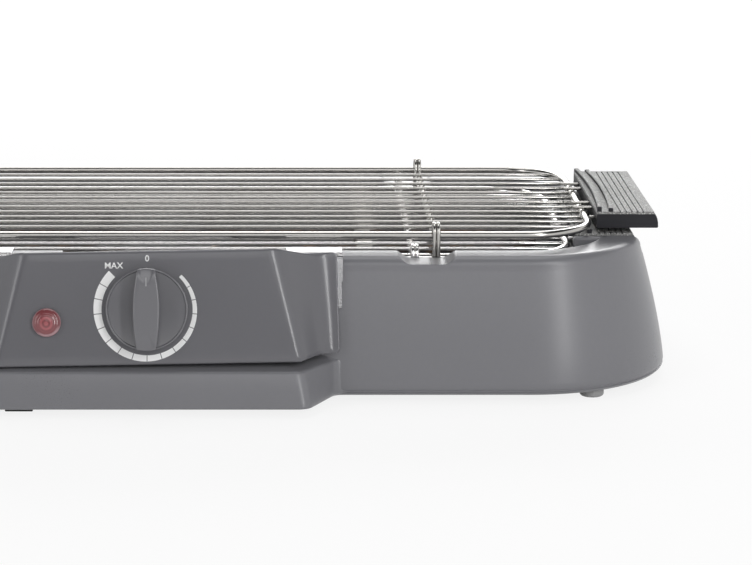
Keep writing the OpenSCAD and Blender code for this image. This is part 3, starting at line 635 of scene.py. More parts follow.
def piece(name: str, surface: Surface, finish: Finish, role: Role, sharp: float = 35.0) -> bpy.types.Object:
    """Writes a surface as an object.

    Args:
        name: The object's name.
        surface: The closed surface, in millimetres.
        finish: Its finish.
        role: Its body, slot and CAD nodes.
        sharp: Edges sharper than this many degrees stay sharp in the shading.

    Returns:
        The object, at the origin, with its faces turned outwards.
    """
    mesh = bpy.data.meshes.new(name)
    mesh.from_pydata((surface.points * MM).tolist(), [], surface.faces)
    work = bmesh.new()
    work.from_mesh(mesh)
    bmesh.ops.recalc_face_normals(work, faces=work.faces)
    work.to_mesh(mesh)
    work.free()
    mesh.shade_smooth()
    mesh.set_sharp_from_angle(angle=math.radians(sharp))
    dressed(mesh, finish)
    return settle(bpy.data.objects.new(name, mesh), role)


def softened(node: str, finish: Finish, role: Role, width: float = 0.3,
             change: Optional[Callable[[Array], Array]] = None) -> bpy.types.Object:
    """A copy of a CAD node with its doubles merged, its flat faces joined and its edges rounded.

    Args:
        node: The CAD node.
        finish: The copy's finish.
        role: Its body and slot.
        width: Width of the rounding in millimetres.
        change: What moves the copy's points, in millimetres, if they don't stay.

    Returns:
        The copy, which replaces the node.
    """
    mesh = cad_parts[node].data.copy()
    work = bmesh.new()
    work.from_mesh(mesh)
    bmesh.ops.remove_doubles(work, verts=work.verts, dist=2e-6)
    bmesh.ops.dissolve_limit(work, angle_limit=math.radians(0.8), verts=work.verts, edges=work.edges)
    work.to_mesh(mesh)
    work.free()
    if change:
        points = np.zeros(len(mesh.vertices) * 3)
        mesh.vertices.foreach_get("co", points)
        mesh.vertices.foreach_set("co", (change(points.reshape(-1, 3) / MM) * MM).ravel())
    mesh.shade_smooth()
    mesh.set_sharp_from_angle(angle=math.radians(35))
    dressed(mesh, finish)
    obj = bpy.data.objects.new(node + "_soft", mesh)
    bevel = obj.modifiers.new("edges", "BEVEL")
    bevel.width, bevel.segments, bevel.limit_method = width * MM, 2, "ANGLE"
    bevel.angle_limit, bevel.use_clamp_overlap = math.radians(40), True
    return settle(obj, Role(role.body, role.slot, (node,)))


def keep(node: str, finish: Finish) -> None:
    """Leaves a CAD node as it is and gives it a finish."""
    dressed(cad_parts[node].data, finish)
    LOG.info("%s: CAD node kept", node)


# The tub

@dataclass
class Tub:
    """The grey housing: a leaning wall, a rounded rim and a well, with dips for racks and heater.

    Attributes:
        scallop: A rim scallop's floor height, half width and the rise of its sides.
        recess: A handle recess's floor height and half width.
        scoop: A finger scoop's floor height, half width and inner edge along X.
        notch: Floor height and half width of the notch that the heater's neck lies in.
        slot: A wall slot's half width, middle height, half height and depth.
        block_z: Height of the socket blocks' tops.
        pocket_floors: Heights of the floors of a block's two pockets.
        groove: Depth of the grooves in the well's wall over the pockets.
        floor_round: Radius between the well's wall and its floor.
        bulge_foot: Half width of the bulge's face at its foot.
    """

    length: float = 498
    depth: float = 234
    foot_r: float = 70.5
    base_z: float = 4
    rim_z: float = 67.5
    lean: float = 14.3
    power: float = 1.37
    rim_round: float = 5
    lip: float = 1.5
    well_hx: float = 216.5
    well_hy: float = 87.5
    well_r: float = 40
    draft: float = 2
    floor_z: float = 16.5
    floor_round: float = 3
    slot_pitch: float = 46.3
    slot: tuple[float, float, float, float] = (3.6, 56.6, 4.9, 3.6)
    scallop: tuple[float, float, float] = (64, 13.5, 3.5)
    recess: tuple[float, float] = (59, 54.8)
    scoop: tuple[float, float, float] = (49, 29.8, 227.2)
    notch: tuple[float, float] = (36.75, 40.3)
    bulge_foot: float = 74.3
    scallops: tuple[float, float] = (130, -120)
    sockets: tuple[float, ...] = (125, 135, -125, -115)
    block_z: float = 60
    pocket_floors: tuple[float, float] = (45.4, 56.0)
    groove: float = 1.15
    role: Role = Role("base", "housing", ("housing",))

    def wall_r(self, z: Array) -> Array:
        """Radius of the wall's outside about the corner axes: foot_r - lean (height share)^power."""
        share = np.clip((np.asarray(z, float) - self.base_z) / (self.rim_z - self.base_z), 0, None)
        return self.foot_r - self.lean * share ** self.power

    def profile(self) -> tuple[Array, Array, Array]:
        """The section of wall, rim and well, from the underside outwards and over the rim to the floor.

        Returns:
            Radius, height, and a share that is 0 on the outside and 1 in the well, one of each per line.
        """
        z1 = self.rim_z - self.rim_round
        r1 = float(self.wall_r(z1)) - self.rim_round
        # The wall's rounded foot, with a fine groove above it
        foot = [(65.5, 6.3), (65.5, 4.2), (65.8, 4.0), (68.2, 4.0), (68.9, 4.2), (69.7, 4.9), (70.1, 5.6),
                (69.7, 5.9), (69.7, 6.4), (70.0, 6.7)]
        zs = np.linspace(7.6, z1, 24)
        a = np.radians(np.arange(9, 91, 9))
        land = np.array([r1 - 1.2, 51.2, 50.4, 50.0, 49.7, 49.4, 49.1, 48.8, 48.4, 47, 45.5, 44, 42.8])
        b = np.radians(np.arange(0, 91, 18))
        inner = np.array([65, 64, 63, 62, 61.75, 61.4, 60.9, 60.2, 58, 55, 52.6, 52, 51.6, 51.25, 50.5, 48,
                          44, 38, 32, 26, 21])
        c = np.radians(np.arange(0, 91, 18))
        top = self.rim_z - self.lip

        def well(z: Array) -> Array:
            """Radius of the well's wall at height z."""
            return self.well_r - self.draft * (top - z) / (top - self.floor_z)

        bottom = self.floor_round
        low_r = float(well(self.floor_z + bottom))
        r = np.concatenate([[p[0] for p in foot], self.wall_r(zs), r1 + self.rim_round * np.cos(a), land,
                            self.well_r + self.lip * (1 - np.sin(b)), well(inner),
                            low_r - bottom * (1 - np.cos(c)), [25]])
        z = np.concatenate([[p[1] for p in foot], zs, z1 + self.rim_round * np.sin(a),
                            np.full(len(land), self.rim_z), self.rim_z - self.lip * (1 - np.cos(b)), inner,
                            self.floor_z + bottom * (1 - np.sin(c)), [self.floor_z]])
        outside = len(foot) + len(zs) + len(a)
        share = np.ones(len(r))
        share[:outside] = 0
        share[outside:outside + len(land)] = (r1 - land) / (r1 - self.well_r - self.lip)
        return r, z, share

    def stations(self) -> tuple[Array, Array, Array]:
        """Places round a quarter of the tub, close together where something is cut into it.

        Returns:
            Depths up the end, shares of the corner and lengths along the side.
        """
        ys = np.array([0, 7, 14, 21, 26, 28.6, 29.3, 29.6, 29.9, 30.2, 30.5, 31.2, 34, 38, 42, 46, 50, 53,
                       54.2, 54.6, 54.8, 55.0, 55.2, 55.4, 55.8, 56.8, 58.4, 60])
        us = np.linspace(0, 1, 26)[1:]
        marks = [np.arange(0, 175, 4.0)]
        for c in self.slot_pitch * np.arange(0.5, 4):
            marks.append(c + np.array([-4.15, -3.9, -3.65, -3.4, 3.4, 3.65, 3.9, 4.15]))
        for c in map(abs, self.scallops):
            marks.append(c + np.concatenate([np.arange(7, 14.6, 0.75), -np.arange(7, 14.6, 0.75)]))
        for c in map(abs, self.sockets):
            marks.append(c + np.array([-2.9, -2.65, -2.4, 2.4, 2.65, 2.9]))
        marks.append(np.array([39.4, 40.0, 40.2, 40.4, 40.6, 40.8, 41.1, 41.6]))
        xs = np.unique(np.concatenate(marks))
        xs = xs[np.concatenate([[True], np.diff(xs) > 0.09])]
        return ys, us, xs[::-1]

    def ceiling(self, x: Array, y: Array) -> Array:
        """Height of the cuts from above: scallops, handle recesses with scoops, the heater's notch.

        Each cut is its floor's height inside and climbs steeply outside its edge, and the ceiling is their
        lowest.

        Args:
            x: Places along X.
            y: Places along Y.

        Returns:
            The ceiling's height at each place.
        """
        def steep(v: Array, height: float) -> Array:
            """0 up to the edge, then a climb of that height for each 0.6 mm past it."""
            return np.clip(v / 0.6, 0, None) * height

        out = np.full(x.shape, 200.0)
        long_side, ends, front = np.abs(y) > 80, np.abs(x) > 176.5, y < -60
        floor, half, rise = self.scallop
        for c in self.scallops:
            d = np.abs(x - c)
            bowl = rise * (1 - np.sin(np.pi / 2 * np.clip((half - d) / 6, 0, 1)))
            dip = floor + bowl + np.clip(d - half, 0, None) * 9
            out = np.where(long_side, np.minimum(out, dip), out)
        floor, half = self.recess
        recess = floor + steep(np.abs(y) - half, 9)
        floor, half, inner = self.scoop
        scoop = floor + steep(np.abs(y) - half, 11) + steep(inner - np.abs(x), 11)
        out = np.where(ends, np.minimum(out, np.minimum(recess, scoop)), out)
        floor, half = self.notch
        notch = floor + steep(np.abs(x) - half, 31)
        return np.where(front, np.minimum(out, notch), out)

    def shell(self) -> Surface:
        """The wall's section carried round a rounded rectangle, with slots sunk into the well.

        The height of each point is the lower of the section's and the ceiling's.

        Returns:
            The tub's shell.
        """
        r, z, share = self.profile()
        out_x, out_y = self.length / 2 - self.foot_r, self.depth / 2 - self.foot_r
        cx = out_x + share * (self.well_hx - self.well_r - out_x)
        cy = out_y + share * (self.well_hy - self.well_r - out_y)
        ys, us, xs = self.stations()
        line = np.arange(len(xs))[:, None]
        push = np.zeros((len(xs), len(r)))
        inner = share >= 1
        half, middle, tall, sink = self.slot
        for c in self.slot_pitch * np.arange(0.5, 4):
            push += window(xs[:, None] - c, half, 0.4) * window(z - middle, tall, 0.4) * inner
        # No slots beside the heater's notch, nor behind the socket blocks on the left
        free = np.ones((2, 2, len(xs), 1))
        free[1, :, np.abs(xs) < 48.5] = 0
        free[:, 1, np.abs(xs - 120) < 14] = 0
        # One quarter: a up the end, b round the corner, c along the side
        a_y = np.broadcast_to(ys[:, None], (len(ys), len(r)))
        a_x = cx + np.sqrt(r ** 2 - np.maximum(a_y - cy, 0) ** 2)
        t0 = np.arcsin((ys[-1] - cy) / r)
        t = t0 + (np.pi / 2 - t0) * us[:, None]
        b_x, b_y = cx + r * np.cos(t), cy + r * np.sin(t)
        c_x = np.broadcast_to(xs[:, None], (len(xs), len(r)))
        c_y = cy + np.sqrt(r ** 2 - np.maximum(c_x - cx, 0) ** 2)
        # The four quarters in turn, each without the station that it shares with the one before
        x_all, y_all = [], []
        for front, left in ((0, 0), (0, 1), (1, 1), (1, 0)):
            sx, sy = (-1 if left else 1), (-1 if front else 1)
            grooves = sum(window(c_x * sx - s, 2.5, 0.3) for s in self.sockets) * inner
            grooves = grooves * (z > self.block_z)
            sunk = c_y + sink * push * free[front, left] + self.groove * grooves
            x = sx * np.concatenate([a_x, b_x, c_x])
            y = sy * np.concatenate([a_y, b_y, sunk])
            if front != left:
                x, y = x[::-1], y[::-1]
            last = -1 if (front, left) == (1, 0) else None
            first = 0 if (front, left) == (0, 0) else 1
            x_all.append(x[first:last])
            y_all.append(y[first:last])
        x, y = np.concatenate(x_all), np.concatenate(y_all)
        high = lower_of(np.broadcast_to(z, x.shape), self.ceiling(x, y), 0.22)
        high = np.where(z > 30, high, z)
        return Surface.from_rings(np.stack([x, y, high], -1).transpose(1, 0, 2))

    def socket_blocks(self) -> Surface:
        """Four blocks inside the well: flat tops at z 60 with two pockets each, for the racks' legs.

        Returns:
            The four blocks.
        """
        blocks = []
        for c, pair in zip(self.scallops, (self.sockets[:2], self.sockets[2:])):
            for t in (-1, 1):
                edges = np.concatenate([[-2.9, -2.65, -2.4, 2.4, 2.65, 2.9] + np.array(s) for s in pair])
                marks = [c - 9.5, c - 9.3, c - 8.9, c, c + 8.9, c + 9.3, c + 9.5]
                xs = np.unique(np.concatenate([marks, edges]))
                ys = np.array([83.45, 83.6, 83.95, 85.1, 85.35, 85.6, 87, 88.3]) * t
                floors = dict(zip(pair, self.pocket_floors))

                def top(x: Array, y: Array) -> Array:
                    """Height of a block's upper side.

                    Args:
                        x: Places along X.
                        y: Places along Y.

                    Returns:
                        The height at each place.
                    """
                    deep = {s: self.block_z - f for s, f in floors.items()}
                    hole = sum(window(x - s, 2.5, 0.25) * d for s, d in deep.items())
                    hole = hole * smooth((np.abs(y) - 85.2) / 0.25)
                    edge = 0.35 * (smooth((np.abs(x - c) - 8.9) / 0.6) + smooth((84.0 - np.abs(y)) / 0.5))
                    return self.block_z + 0.05 - hole - edge

                blocks.append(slab(xs, np.sort(ys), top, 42.4))
        return joined(blocks)

    def bulge(self) -> Surface:
        """The bulge under the control box: outlines at rising heights, in the plane of the box's face.

        Returns:
            The bulge, let into the wall behind it.
        """
        levels = [(4, 0.9), (4.2, 0.35), (4.7, 0.05), (5.5, 0), (6.5, 0), (12, 0), (19.6, 0), (20.4, 0.2),
                  (20.8, 0.6), (21.1, 1.2), (22, 4), (23.2, 9)]
        rings = []
        for z, inset in levels:
            x = self.bulge_foot - 3.7 * (z - 4) / 17 - inset
            f = FACE_Y + (FACE_Z - z) * math.tan(math.radians(FACE_TILT)) - inset
            w = self.depth / 2 - self.foot_r + float(self.wall_r(z)) - max(0, 5.5 - z) * 1.33
            side = [(x, -f), (87.2 - inset, -w - 0.1), (92, 0.4 - w), (92, 6 - w)]
            corners = side + [(-a, b) for a, b in side[::-1]]
            outline = rounded(corners, [7, 7.5, 0.1, 0.1, 0.1, 0.1, 7.5, 7], 10)
            rings.append(np.column_stack([outline, np.full(len(outline), z)]))
        return Surface.from_rings(np.array(rings))

    def noses(self) -> Surface:
        """Four noses of the rim that stand in the well beside the handles' recesses, with rounded edges.

        Returns:
            The four noses.
        """
        blocks = []
        for sx in (-1, 1):
            for sy in (-1, 1):
                corners = [(202.7, 55.1), (220, 55.1), (220, 59.4), (202.7, 59.4)]
                outline = rounded(corners, [1.6, 0.3, 0.3, 1.6], 7)
                middle = np.array([211, 57.2])
                rings = []
                for f in (None, 0, 22, 45, 67, 90):
                    inset = 0 if f is None else 1.4 * (1 - math.cos(math.radians(f)))
                    z = 40 if f is None else self.rim_z - 1.4 + 1.4 * math.sin(math.radians(f))
                    away = np.clip(outline - middle, -1, 1) * inset
                    rings.append(np.column_stack([(outline - away) * (sx, sy), np.full(len(outline), z)]))
                blocks.append(Surface.from_rings(np.array(rings)))
        return joined(blocks)

    def foot_bosses(self) -> Surface:
        """Short discs that carry the corner feet inside the wall's foot.

        Returns:
            The four discs.
        """
        disc = lathe([(5.7, 3.98), (5.7, 6.4)], 32)
        places = [(a * 208.5, b * 100, 0) for a in (-1, 1) for b in (-1, 1)]
        return joined([disc.changed(lambda p, at=at: p + at) for at in places])

    def build(self) -> None:
        """Makes and dresses the tub, its cover, its screws and its feet."""
        piece("tub_shell", self.shell(), BODY_GREY, self.role, 38)
        rest = Role("base", "housing")
        piece("socket_blocks", self.socket_blocks(), BODY_GREY, rest)
        piece("rim_noses", self.noses(), BODY_GREY, rest)
        piece("bulge", self.bulge(), BODY_GREY, rest, 40)
        piece("foot_bosses", self.foot_bosses(), BODY_GREY, rest)
        softened("base_cover", COVER_BLACK, Role("base", "base_cover"), 0.4)
        softened("feet", FOOT_GREY, Role("base", "feet"), 0.3)
        softened("cord_side_pad", RUBBER, Role("base", "feet"), 0.5)
        keep("base_screws", ZINC)


# The control box

@dataclass
class ControlBox:
    """The box on the heater: cover with a flange, dial, knob, pilot lens and the steel behind them.

    Attributes:
        face_half: Half widths of the face at its foot and its top.
        face_top: Height of the face's top edge above the knob's centre.
        face_low: Height of its lower edge, in the same way.
        fillet_from: Depth at which the fillet starts.
        fillet_run: How far out the fillet reaches.
        flange: The flange's half widths at its foot and its top, and the height of its top edge.
        edge: Radius of the edge between the face and the flanks.
        ring_in: Inner radius of the printed ring round the knob.
        ring_out: Its outer radius at 0 and how much that grows up to MAX.
        ring_n: Number of its segments.
        ring_from: Angle at which it starts, clockwise from the top.
        ring_step: Angle from one segment to the next.
    """

    tilt: float = FACE_TILT
    face_y: float = FACE_Y
    face_z: float = FACE_Z
    face_half: tuple[float, float] = (71, 58.7)
    face_top: float = 27.5
    face_low: float = -25.7
    fillet_from: float = 10
    fillet_run: float = 12.8
    flange: tuple[float, float, float] = (89, 87.6, 25.3)
    lean: float = 1.0
    knob_r: float = 18.8
    knob_gap: float = 0.8
    edge: float = 3.8
    lens_at: tuple[float, float] = (-46, -5.9)
    lens_r: float = 6.6
    ring_in: float = 20.9
    ring_out: tuple[float, float] = (22.5, 2.5)
    ring_n: int = 16
    ring_from: float = 44
    ring_step: float = 17

    def on_box(self, p: Array) -> Array:
        """Points given as right, up the face and outwards, placed on the tilted face.

        Args:
            p: The points as right, up and outwards.

        Returns:
            The points in the object's frame.
        """
        s, c = math.sin(math.radians(self.tilt)), math.cos(math.radians(self.tilt))
        y = -self.face_y + p[:, 1] * s - p[:, 2] * c
        return np.stack([p[:, 0], y, self.face_z + p[:, 1] * c + p[:, 2] * s], -1)

    def outline(self, back: float, foot: float, top: float, inset: float, lift: float, r: float,
                level: Optional[float] = None) -> Array:
        """One ring of the cover.

        Args:
            back: Depth behind the face.
            foot: Half width at the foot.
            top: Half width at the top.
            inset: How far the ring is moved in.
            lift: Height of the top edge above the knob's centre.
            r: Radius of the corners.
            level: How far the lower and upper edges are moved in, where it isn't the inset.

        Returns:
            The ring's points as right, up and outwards.
        """
        level = inset if level is None else level
        low = self.face_low + back * math.tan(math.radians(self.tilt)) + level
        corners = np.array([(-foot + inset, low), (foot - inset, low), (top - inset, lift - level),
                            (-top + inset, lift - level)])
        corners[:, 1] += corners[:, 0] * math.tan(math.radians(self.lean))
        ring = rounded(corners, r, 8)
        return np.column_stack([ring, np.full(len(ring), -back)])

    def foot(self, n: float) -> float:
        """The cover's half width at its foot, at depth n."""
        return 71.7 + 0.68 * n

    def top(self, n: float) -> float:
        """The cover's half width at its top, at depth n."""
        return self.face_half[1] + 1.24 * n

    def lift(self, n: float) -> float:
        """Height of the cover's top edge above the knob's centre, at depth n."""
        return self.face_top - 0.2 * n

    def cover(self) -> Surface:
        """The cover: rounded face edge, sloping flanks, a hollow fillet and a flange.

        The flanks' half widths grow in proportion to the depth, faster at the top than at the foot. The top
        edge falls by a fifth of the depth, and a quadratic curve carries the flanks into the flange.

        Returns:
            The cover, placed on the heater.
        """
        rings = [self.outline(0, *self.face_half, inset, self.face_top, 1.2)
                 for inset in (24, 12, self.edge + 1.5)]
        for f in np.radians(np.arange(90, -1, -11.25)):
            n, inset = self.edge * (1 - math.sin(f)), self.edge * (1 - math.cos(f))
            level = 2 - math.sqrt(4 - max(0, 2 - n) ** 2)
            rings.append(self.outline(n, self.foot(n), self.top(n), inset, self.lift(n), 2.4, level))
        for n in np.linspace(5.8, self.fillet_from, 5):
            rings.append(self.outline(n, self.foot(n), self.top(n), 0, self.lift(n), 2.4))
        for w in np.linspace(0.12, 1, 8):
            n = self.fillet_from + self.fillet_run * (w - w * w / 2)
            out = self.fillet_from + self.fillet_run * w
            foot, top = self.foot(out) + 0.6 * w * w, self.top(out) - 0.3 * w * w
            rings.append(self.outline(n, foot, top, 0, self.lift(n) + 0.5 * w * w, 2.4))
        foot, top, high = self.flange
        for n, inset in ((16.4, 0.9), (16.45, 0.5), (16.7, 0.15), (17.2, 0), (19.1, 0), (19.38, 0.3)):
            rings.append(self.outline(n, foot, top, inset, high, 2.2))
        return Surface.from_rings(np.array(rings)).changed(self.on_box)

    def dial_marks(self) -> Surface:
        """Segments of a ring that widens clockwise: outer radius = start + growth (angle share).

        Returns:
            The segments, a hair proud of the cover.
        """
        marks = []
        start, growth = self.ring_out
        for i in range(self.ring_n):
            begin = self.ring_from + self.ring_step * i
            a = np.linspace(begin + 0.45, begin + self.ring_step - 0.45, 8)
            outer = start + growth * (a - self.ring_from) / (self.ring_n * self.ring_step)
            s, c = np.sin(np.radians(a)), np.cos(np.radians(a))
            low, high = np.full(8, -0.2), np.full(8, 0.05)
            ring = [(s * self.ring_in, c * self.ring_in, low), (s * outer, c * outer, low),
                    (s * outer, c * outer, high), (s * self.ring_in, c * self.ring_in, high)]
            marks.append(Surface.from_rings(np.array(ring).transpose(2, 0, 1)))
        return joined(marks).changed(self.on_box)

    def word(self, text: str, x: float, y: float, height: float) -> Surface:
        """A short printed word, centred at x, y on the face, as a thin plate of letters.

        Args:
            text: The letters.
            x: Place to the right of the knob's centre.
            y: Place above the knob's centre.
            height: Height of a capital.

        Returns:
            The letters as a thin plate.
        """
        curve = bpy.data.curves.new(text, "FONT")
        curve.body, curve.size, curve.extrude, curve.offset = text, height / 0.73, 0.05, 0.05
        curve.align_x, curve.align_y = "CENTER", "CENTER"
        obj = bpy.data.objects.new(text, curve)
        bpy.context.scene.collection.objects.link(obj)
        made = bpy.data.meshes.new_from_object(obj.evaluated_get(bpy.context.evaluated_depsgraph_get()))
        co = np.zeros(len(made.vertices) * 3)
        made.vertices.foreach_get("co", co)
        faces = [list(p.vertices) for p in made.polygons]
        bpy.data.objects.remove(obj)
        return Surface(co.reshape(-1, 3) + (x, y, 0.01), faces).changed(self.on_box)

    def grip_top(self, y: Array) -> Array:
        """Height of the grip's upper side along its length."""
        return np.interp(y, [-18.8, -17.6, -16, 0, 15.5, 17.4, 18.8],
                         [10.7, 11.9, 12.45, 13.15, 13.85, 13.5, 12.7])

    def grip(self) -> Surface:
        """The knob's grip: a barrel in plan, half width 6.1 - k v^2, with rounded upper edges.

        Rings of the plan are stacked upwards, then moved in along their normals by rho (1 - cos f) while
        the height falls short of the top by rho (1 - sin f), and last drawn together towards the middle
        line.

        Returns:
            The grip, placed on the knob.
        """
        rho = 0.85
        v = np.linspace(-1, 1, 25)
        w = 6.1 - np.where(v > 0, 2.15, 1.7) * v * v
        y = v * np.sqrt(self.knob_r ** 2 - w[[0, -1]].mean() ** 2)
        u = np.linspace(-1, 1, 9)[1:-1]

        def end(half: float, sign: int) -> Array:
            """The plan's points along the disc's edge, from one side of the grip to the other."""
            return np.column_stack([-sign * u * half, sign * np.sqrt(self.knob_r ** 2 - (u * half) ** 2)])

        right, left = np.column_stack([w, y]), np.column_stack([-w, y])[::-1]
        plan = np.vstack([right, end(w[-1], 1), left, end(w[0], -1)])
        t = unit(np.roll(plan, -1, 0) - np.roll(plan, 1, 0))
        normal = np.column_stack([t[:, 1], -t[:, 0]])
        top = self.grip_top(plan[:, 1])
        rings = [np.column_stack([plan, np.full(len(plan), 3.2)]),
                 np.column_stack([plan - 0.05 * normal, top - 2.5])]
        for f in np.radians([0, 22, 45, 67, 90]):
            inset = plan - normal * rho * (1 - math.cos(f))
            rings.append(np.column_stack([inset, top - rho * (1 - math.sin(f))]))
        for k in (0.6, 0.25, 0.02):
            inset = (plan - normal * rho) * (k, 0.5 + 0.48 * k)
            rings.append(np.column_stack([inset, self.grip_top(inset[:, 1])]))
        return Surface.from_rings(np.array(rings)).changed(self.on_box)

    def disc(self) -> Surface:
        """The knob's disc with a raised, rounded rim.

        Returns:
            The disc, placed on the box.
        """
        r, g = self.knob_r, self.knob_gap
        f = np.radians(np.arange(0, 181, 20))
        rim = np.column_stack([r - 0.5 + 0.5 * np.cos(f), g + 3.5 + 0.5 * np.sin(f)])
        face = [(r - 1.1, g + 3.35), (r - 1.6, g + 3.3), (1, g + 3.3)]
        profile = np.vstack([[(3.2, g), (r - 0.5, g), (r, g + 0.6)], rim, face])
        return lathe(profile, 128).changed(self.on_box)

    def lens(self) -> Surface:
        """The pilot lens: a flat rim and a dome with fine ridges.

        Returns:
            The lens, placed on the box.
        """
        f = np.radians(np.linspace(0, 88, 34))
        r = self.lens_r * np.cos(f)
        dome = np.column_stack([r, 1.2 + 2.7 * np.sin(f) + 0.05 * np.cos(r * 7.0) * (r < 5.4)])
        profile = np.vstack([[(5, -3.3), (5, 0.02), (6.5, 0.02), (6.6, 0.15)], dome])
        return lathe(profile, 96).changed(lambda p: self.on_box(p + (*self.lens_at, 0)))

    def pointer(self) -> Surface:
        """The grey line let into the grip's upper side.

        Returns:
            The line, placed on the knob.
        """
        def top(x: Array, y: Array) -> Array:
            """Height of the line's upper side."""
            return self.grip_top(y) + 0.05 - 0.03 * smooth((np.abs(x) - 0.2) / 0.08)

        line = slab(np.array([-0.28, -0.2, 0.2, 0.28]), np.linspace(10.6, 14.6, 9), top, 12)
        return line.changed(self.on_box)

    def tucked(self, p: Array) -> Array:
        """The hanger's points with the plate's lower ends drawn in behind the flange.

        Args:
            p: The hanger's points.

        Returns:
            The points, moved in where the flange would hide them.
        """
        s, c = math.sin(math.radians(self.tilt)), math.cos(math.radians(self.tilt))
        up = (p[:, 2] - self.face_z) * c + (p[:, 1] + self.face_y) * s
        edge = np.where((up < 13) & (p[:, 2] < 63), 86.5, 95)
        return np.column_stack([np.clip(p[:, 0], -edge, edge), p[:, 1:]])

    def hook_tabs(self) -> Surface:
        """The bright strips that show beside the flange: wide ones near the top with narrow tails below.

        Returns:
            The strips, placed behind the cover.
        """
        tabs = []
        for s in (-1, 1):
            for low, high, wide in ((13, 24.5, 90.3), (0.8, 13.5, 89.9)):
                outline = rounded([(80, low), (wide, low), (wide, high), (80, high)], 0.5, 5)
                x, y = s * outline[:, 0], outline[:, 1]
                rings = [np.column_stack([x, y, np.full(len(x), -19.5 - t)]) for t in (0, 0.15, 0.85, 1)]
                tabs.append(Surface.from_rings(np.array(rings)))
        return joined(tabs).changed(self.on_box)

    def build(self) -> None:
        """Makes and dresses the box, its dial, knob and lens, and the steel parts behind it."""
        def heater(slot: str, *nodes: str) -> Role:
            """The role of a piece on the heater."""
            return Role("heater", slot, nodes)

        def turning(slot: str, *nodes: str) -> Role:
            """The role of a piece that turns with the knob."""
            return Role("knob_unit", slot, nodes)

        piece("control_cover_skin", self.cover(), BOX_GREY, heater("control_box", "control_cover"), 28)
        marks = self.dial_marks() + self.word("0", 0, 23.4, 2.9) + self.word("MAX", -15.3, 20.1, 2.9)
        piece("dial_marks", marks, INK, heater("control_box"))
        piece("knob_disc", self.disc(), KNOB_GREY, turning("knob", "knob"), 50)
        piece("knob_grip", self.grip(), KNOB_GREY, turning("knob"), 50)
        piece("knob_line", self.pointer(), LINE_GREY, turning("pointer", "knob_pointer"))
        middle = self.on_box(np.array([[*self.lens_at, 2.0]]))[0]
        # The second colour is the painted light at the lens's rim and crescent
        red = Lens("lens_red", (0.19, 0.05, 0.056), (0.44, 0.28, 0.3), tuple(middle), self.lens_r)
        piece("lens_dome", self.lens(), red, heater("pilot_lens", "pilot_lens"), 40)
        softened("hanger", BRIGHT_STEEL, heater("hanger"), 0.2, change=self.tucked)
        piece("hook_tabs", self.hook_tabs(), BRIGHT_STEEL, heater("hanger"))
        softened("neck", SHEET_STEEL, heater("neck"), 0.25)
        softened("cord_gland", RUBBER, heater("gland"), 0.3)
        inside = {"cover_screws": ZINC, "thermostat": CERAMIC, "terminal_block": NYLON, "leads": SILICONE,
                  "pilot_lamp": BULB, "spindle": BRIGHT_STEEL}
        for node, finish in inside.items():
            keep(node, finish)


# The heater and its tray

@dataclass
class Heater:
    """The bent heating tube with its strips and terminals, over the loose reflector tray."""

    radius: float = 3.25
    z: float = 44.5
    bend: float = 19
    outer_x: float = 172
    inner_x: float = 42
    end_x: float = 16
    end_y: float = -114
    end_bend: float = 12

    def tube_path(self) -> Array:
        """The tube's axis: straight rows joined by bends, from one terminal to the other.

        Returns:
            The axis, as points in one plane.
        """
        b, far, near = self.bend, self.outer_x + self.bend, self.inner_x - self.bend
        half = [(self.end_x, self.end_y), (self.end_x, -3 * b), (far, -3 * b), (far, -b), (near, -b),
                (near, b), (far, b), (far, 3 * b)]
        corners = half + [(-x, y) for x, y in half[::-1]]
        radii = [self.end_bend] + [b - 0.01] * 12 + [self.end_bend]
        path = rounded(corners, radii, 14, closed=False)
        path = path[np.concatenate([[True], np.linalg.norm(np.diff(path, axis=0), axis=1) > 0.05])]
        return np.column_stack([path, np.full(len(path), self.z)])

    def build(self) -> None:
        """Makes and dresses the tube, its fittings and the tray."""
        bent = tube(self.tube_path(), self.radius, (0, 0, 1), 20)
        piece("heating_tube", bent, TUBE, Role("heater", "element", ("element",)), 50)
        softened("element_strips", STRIP_STEEL, Role("heater", "strips"), 0.2)
        keep("terminals", NICKEL)
        softened("reflector", ALUMINIUM, Role("reflector_tray", "reflector"), 0.25)


# The racks

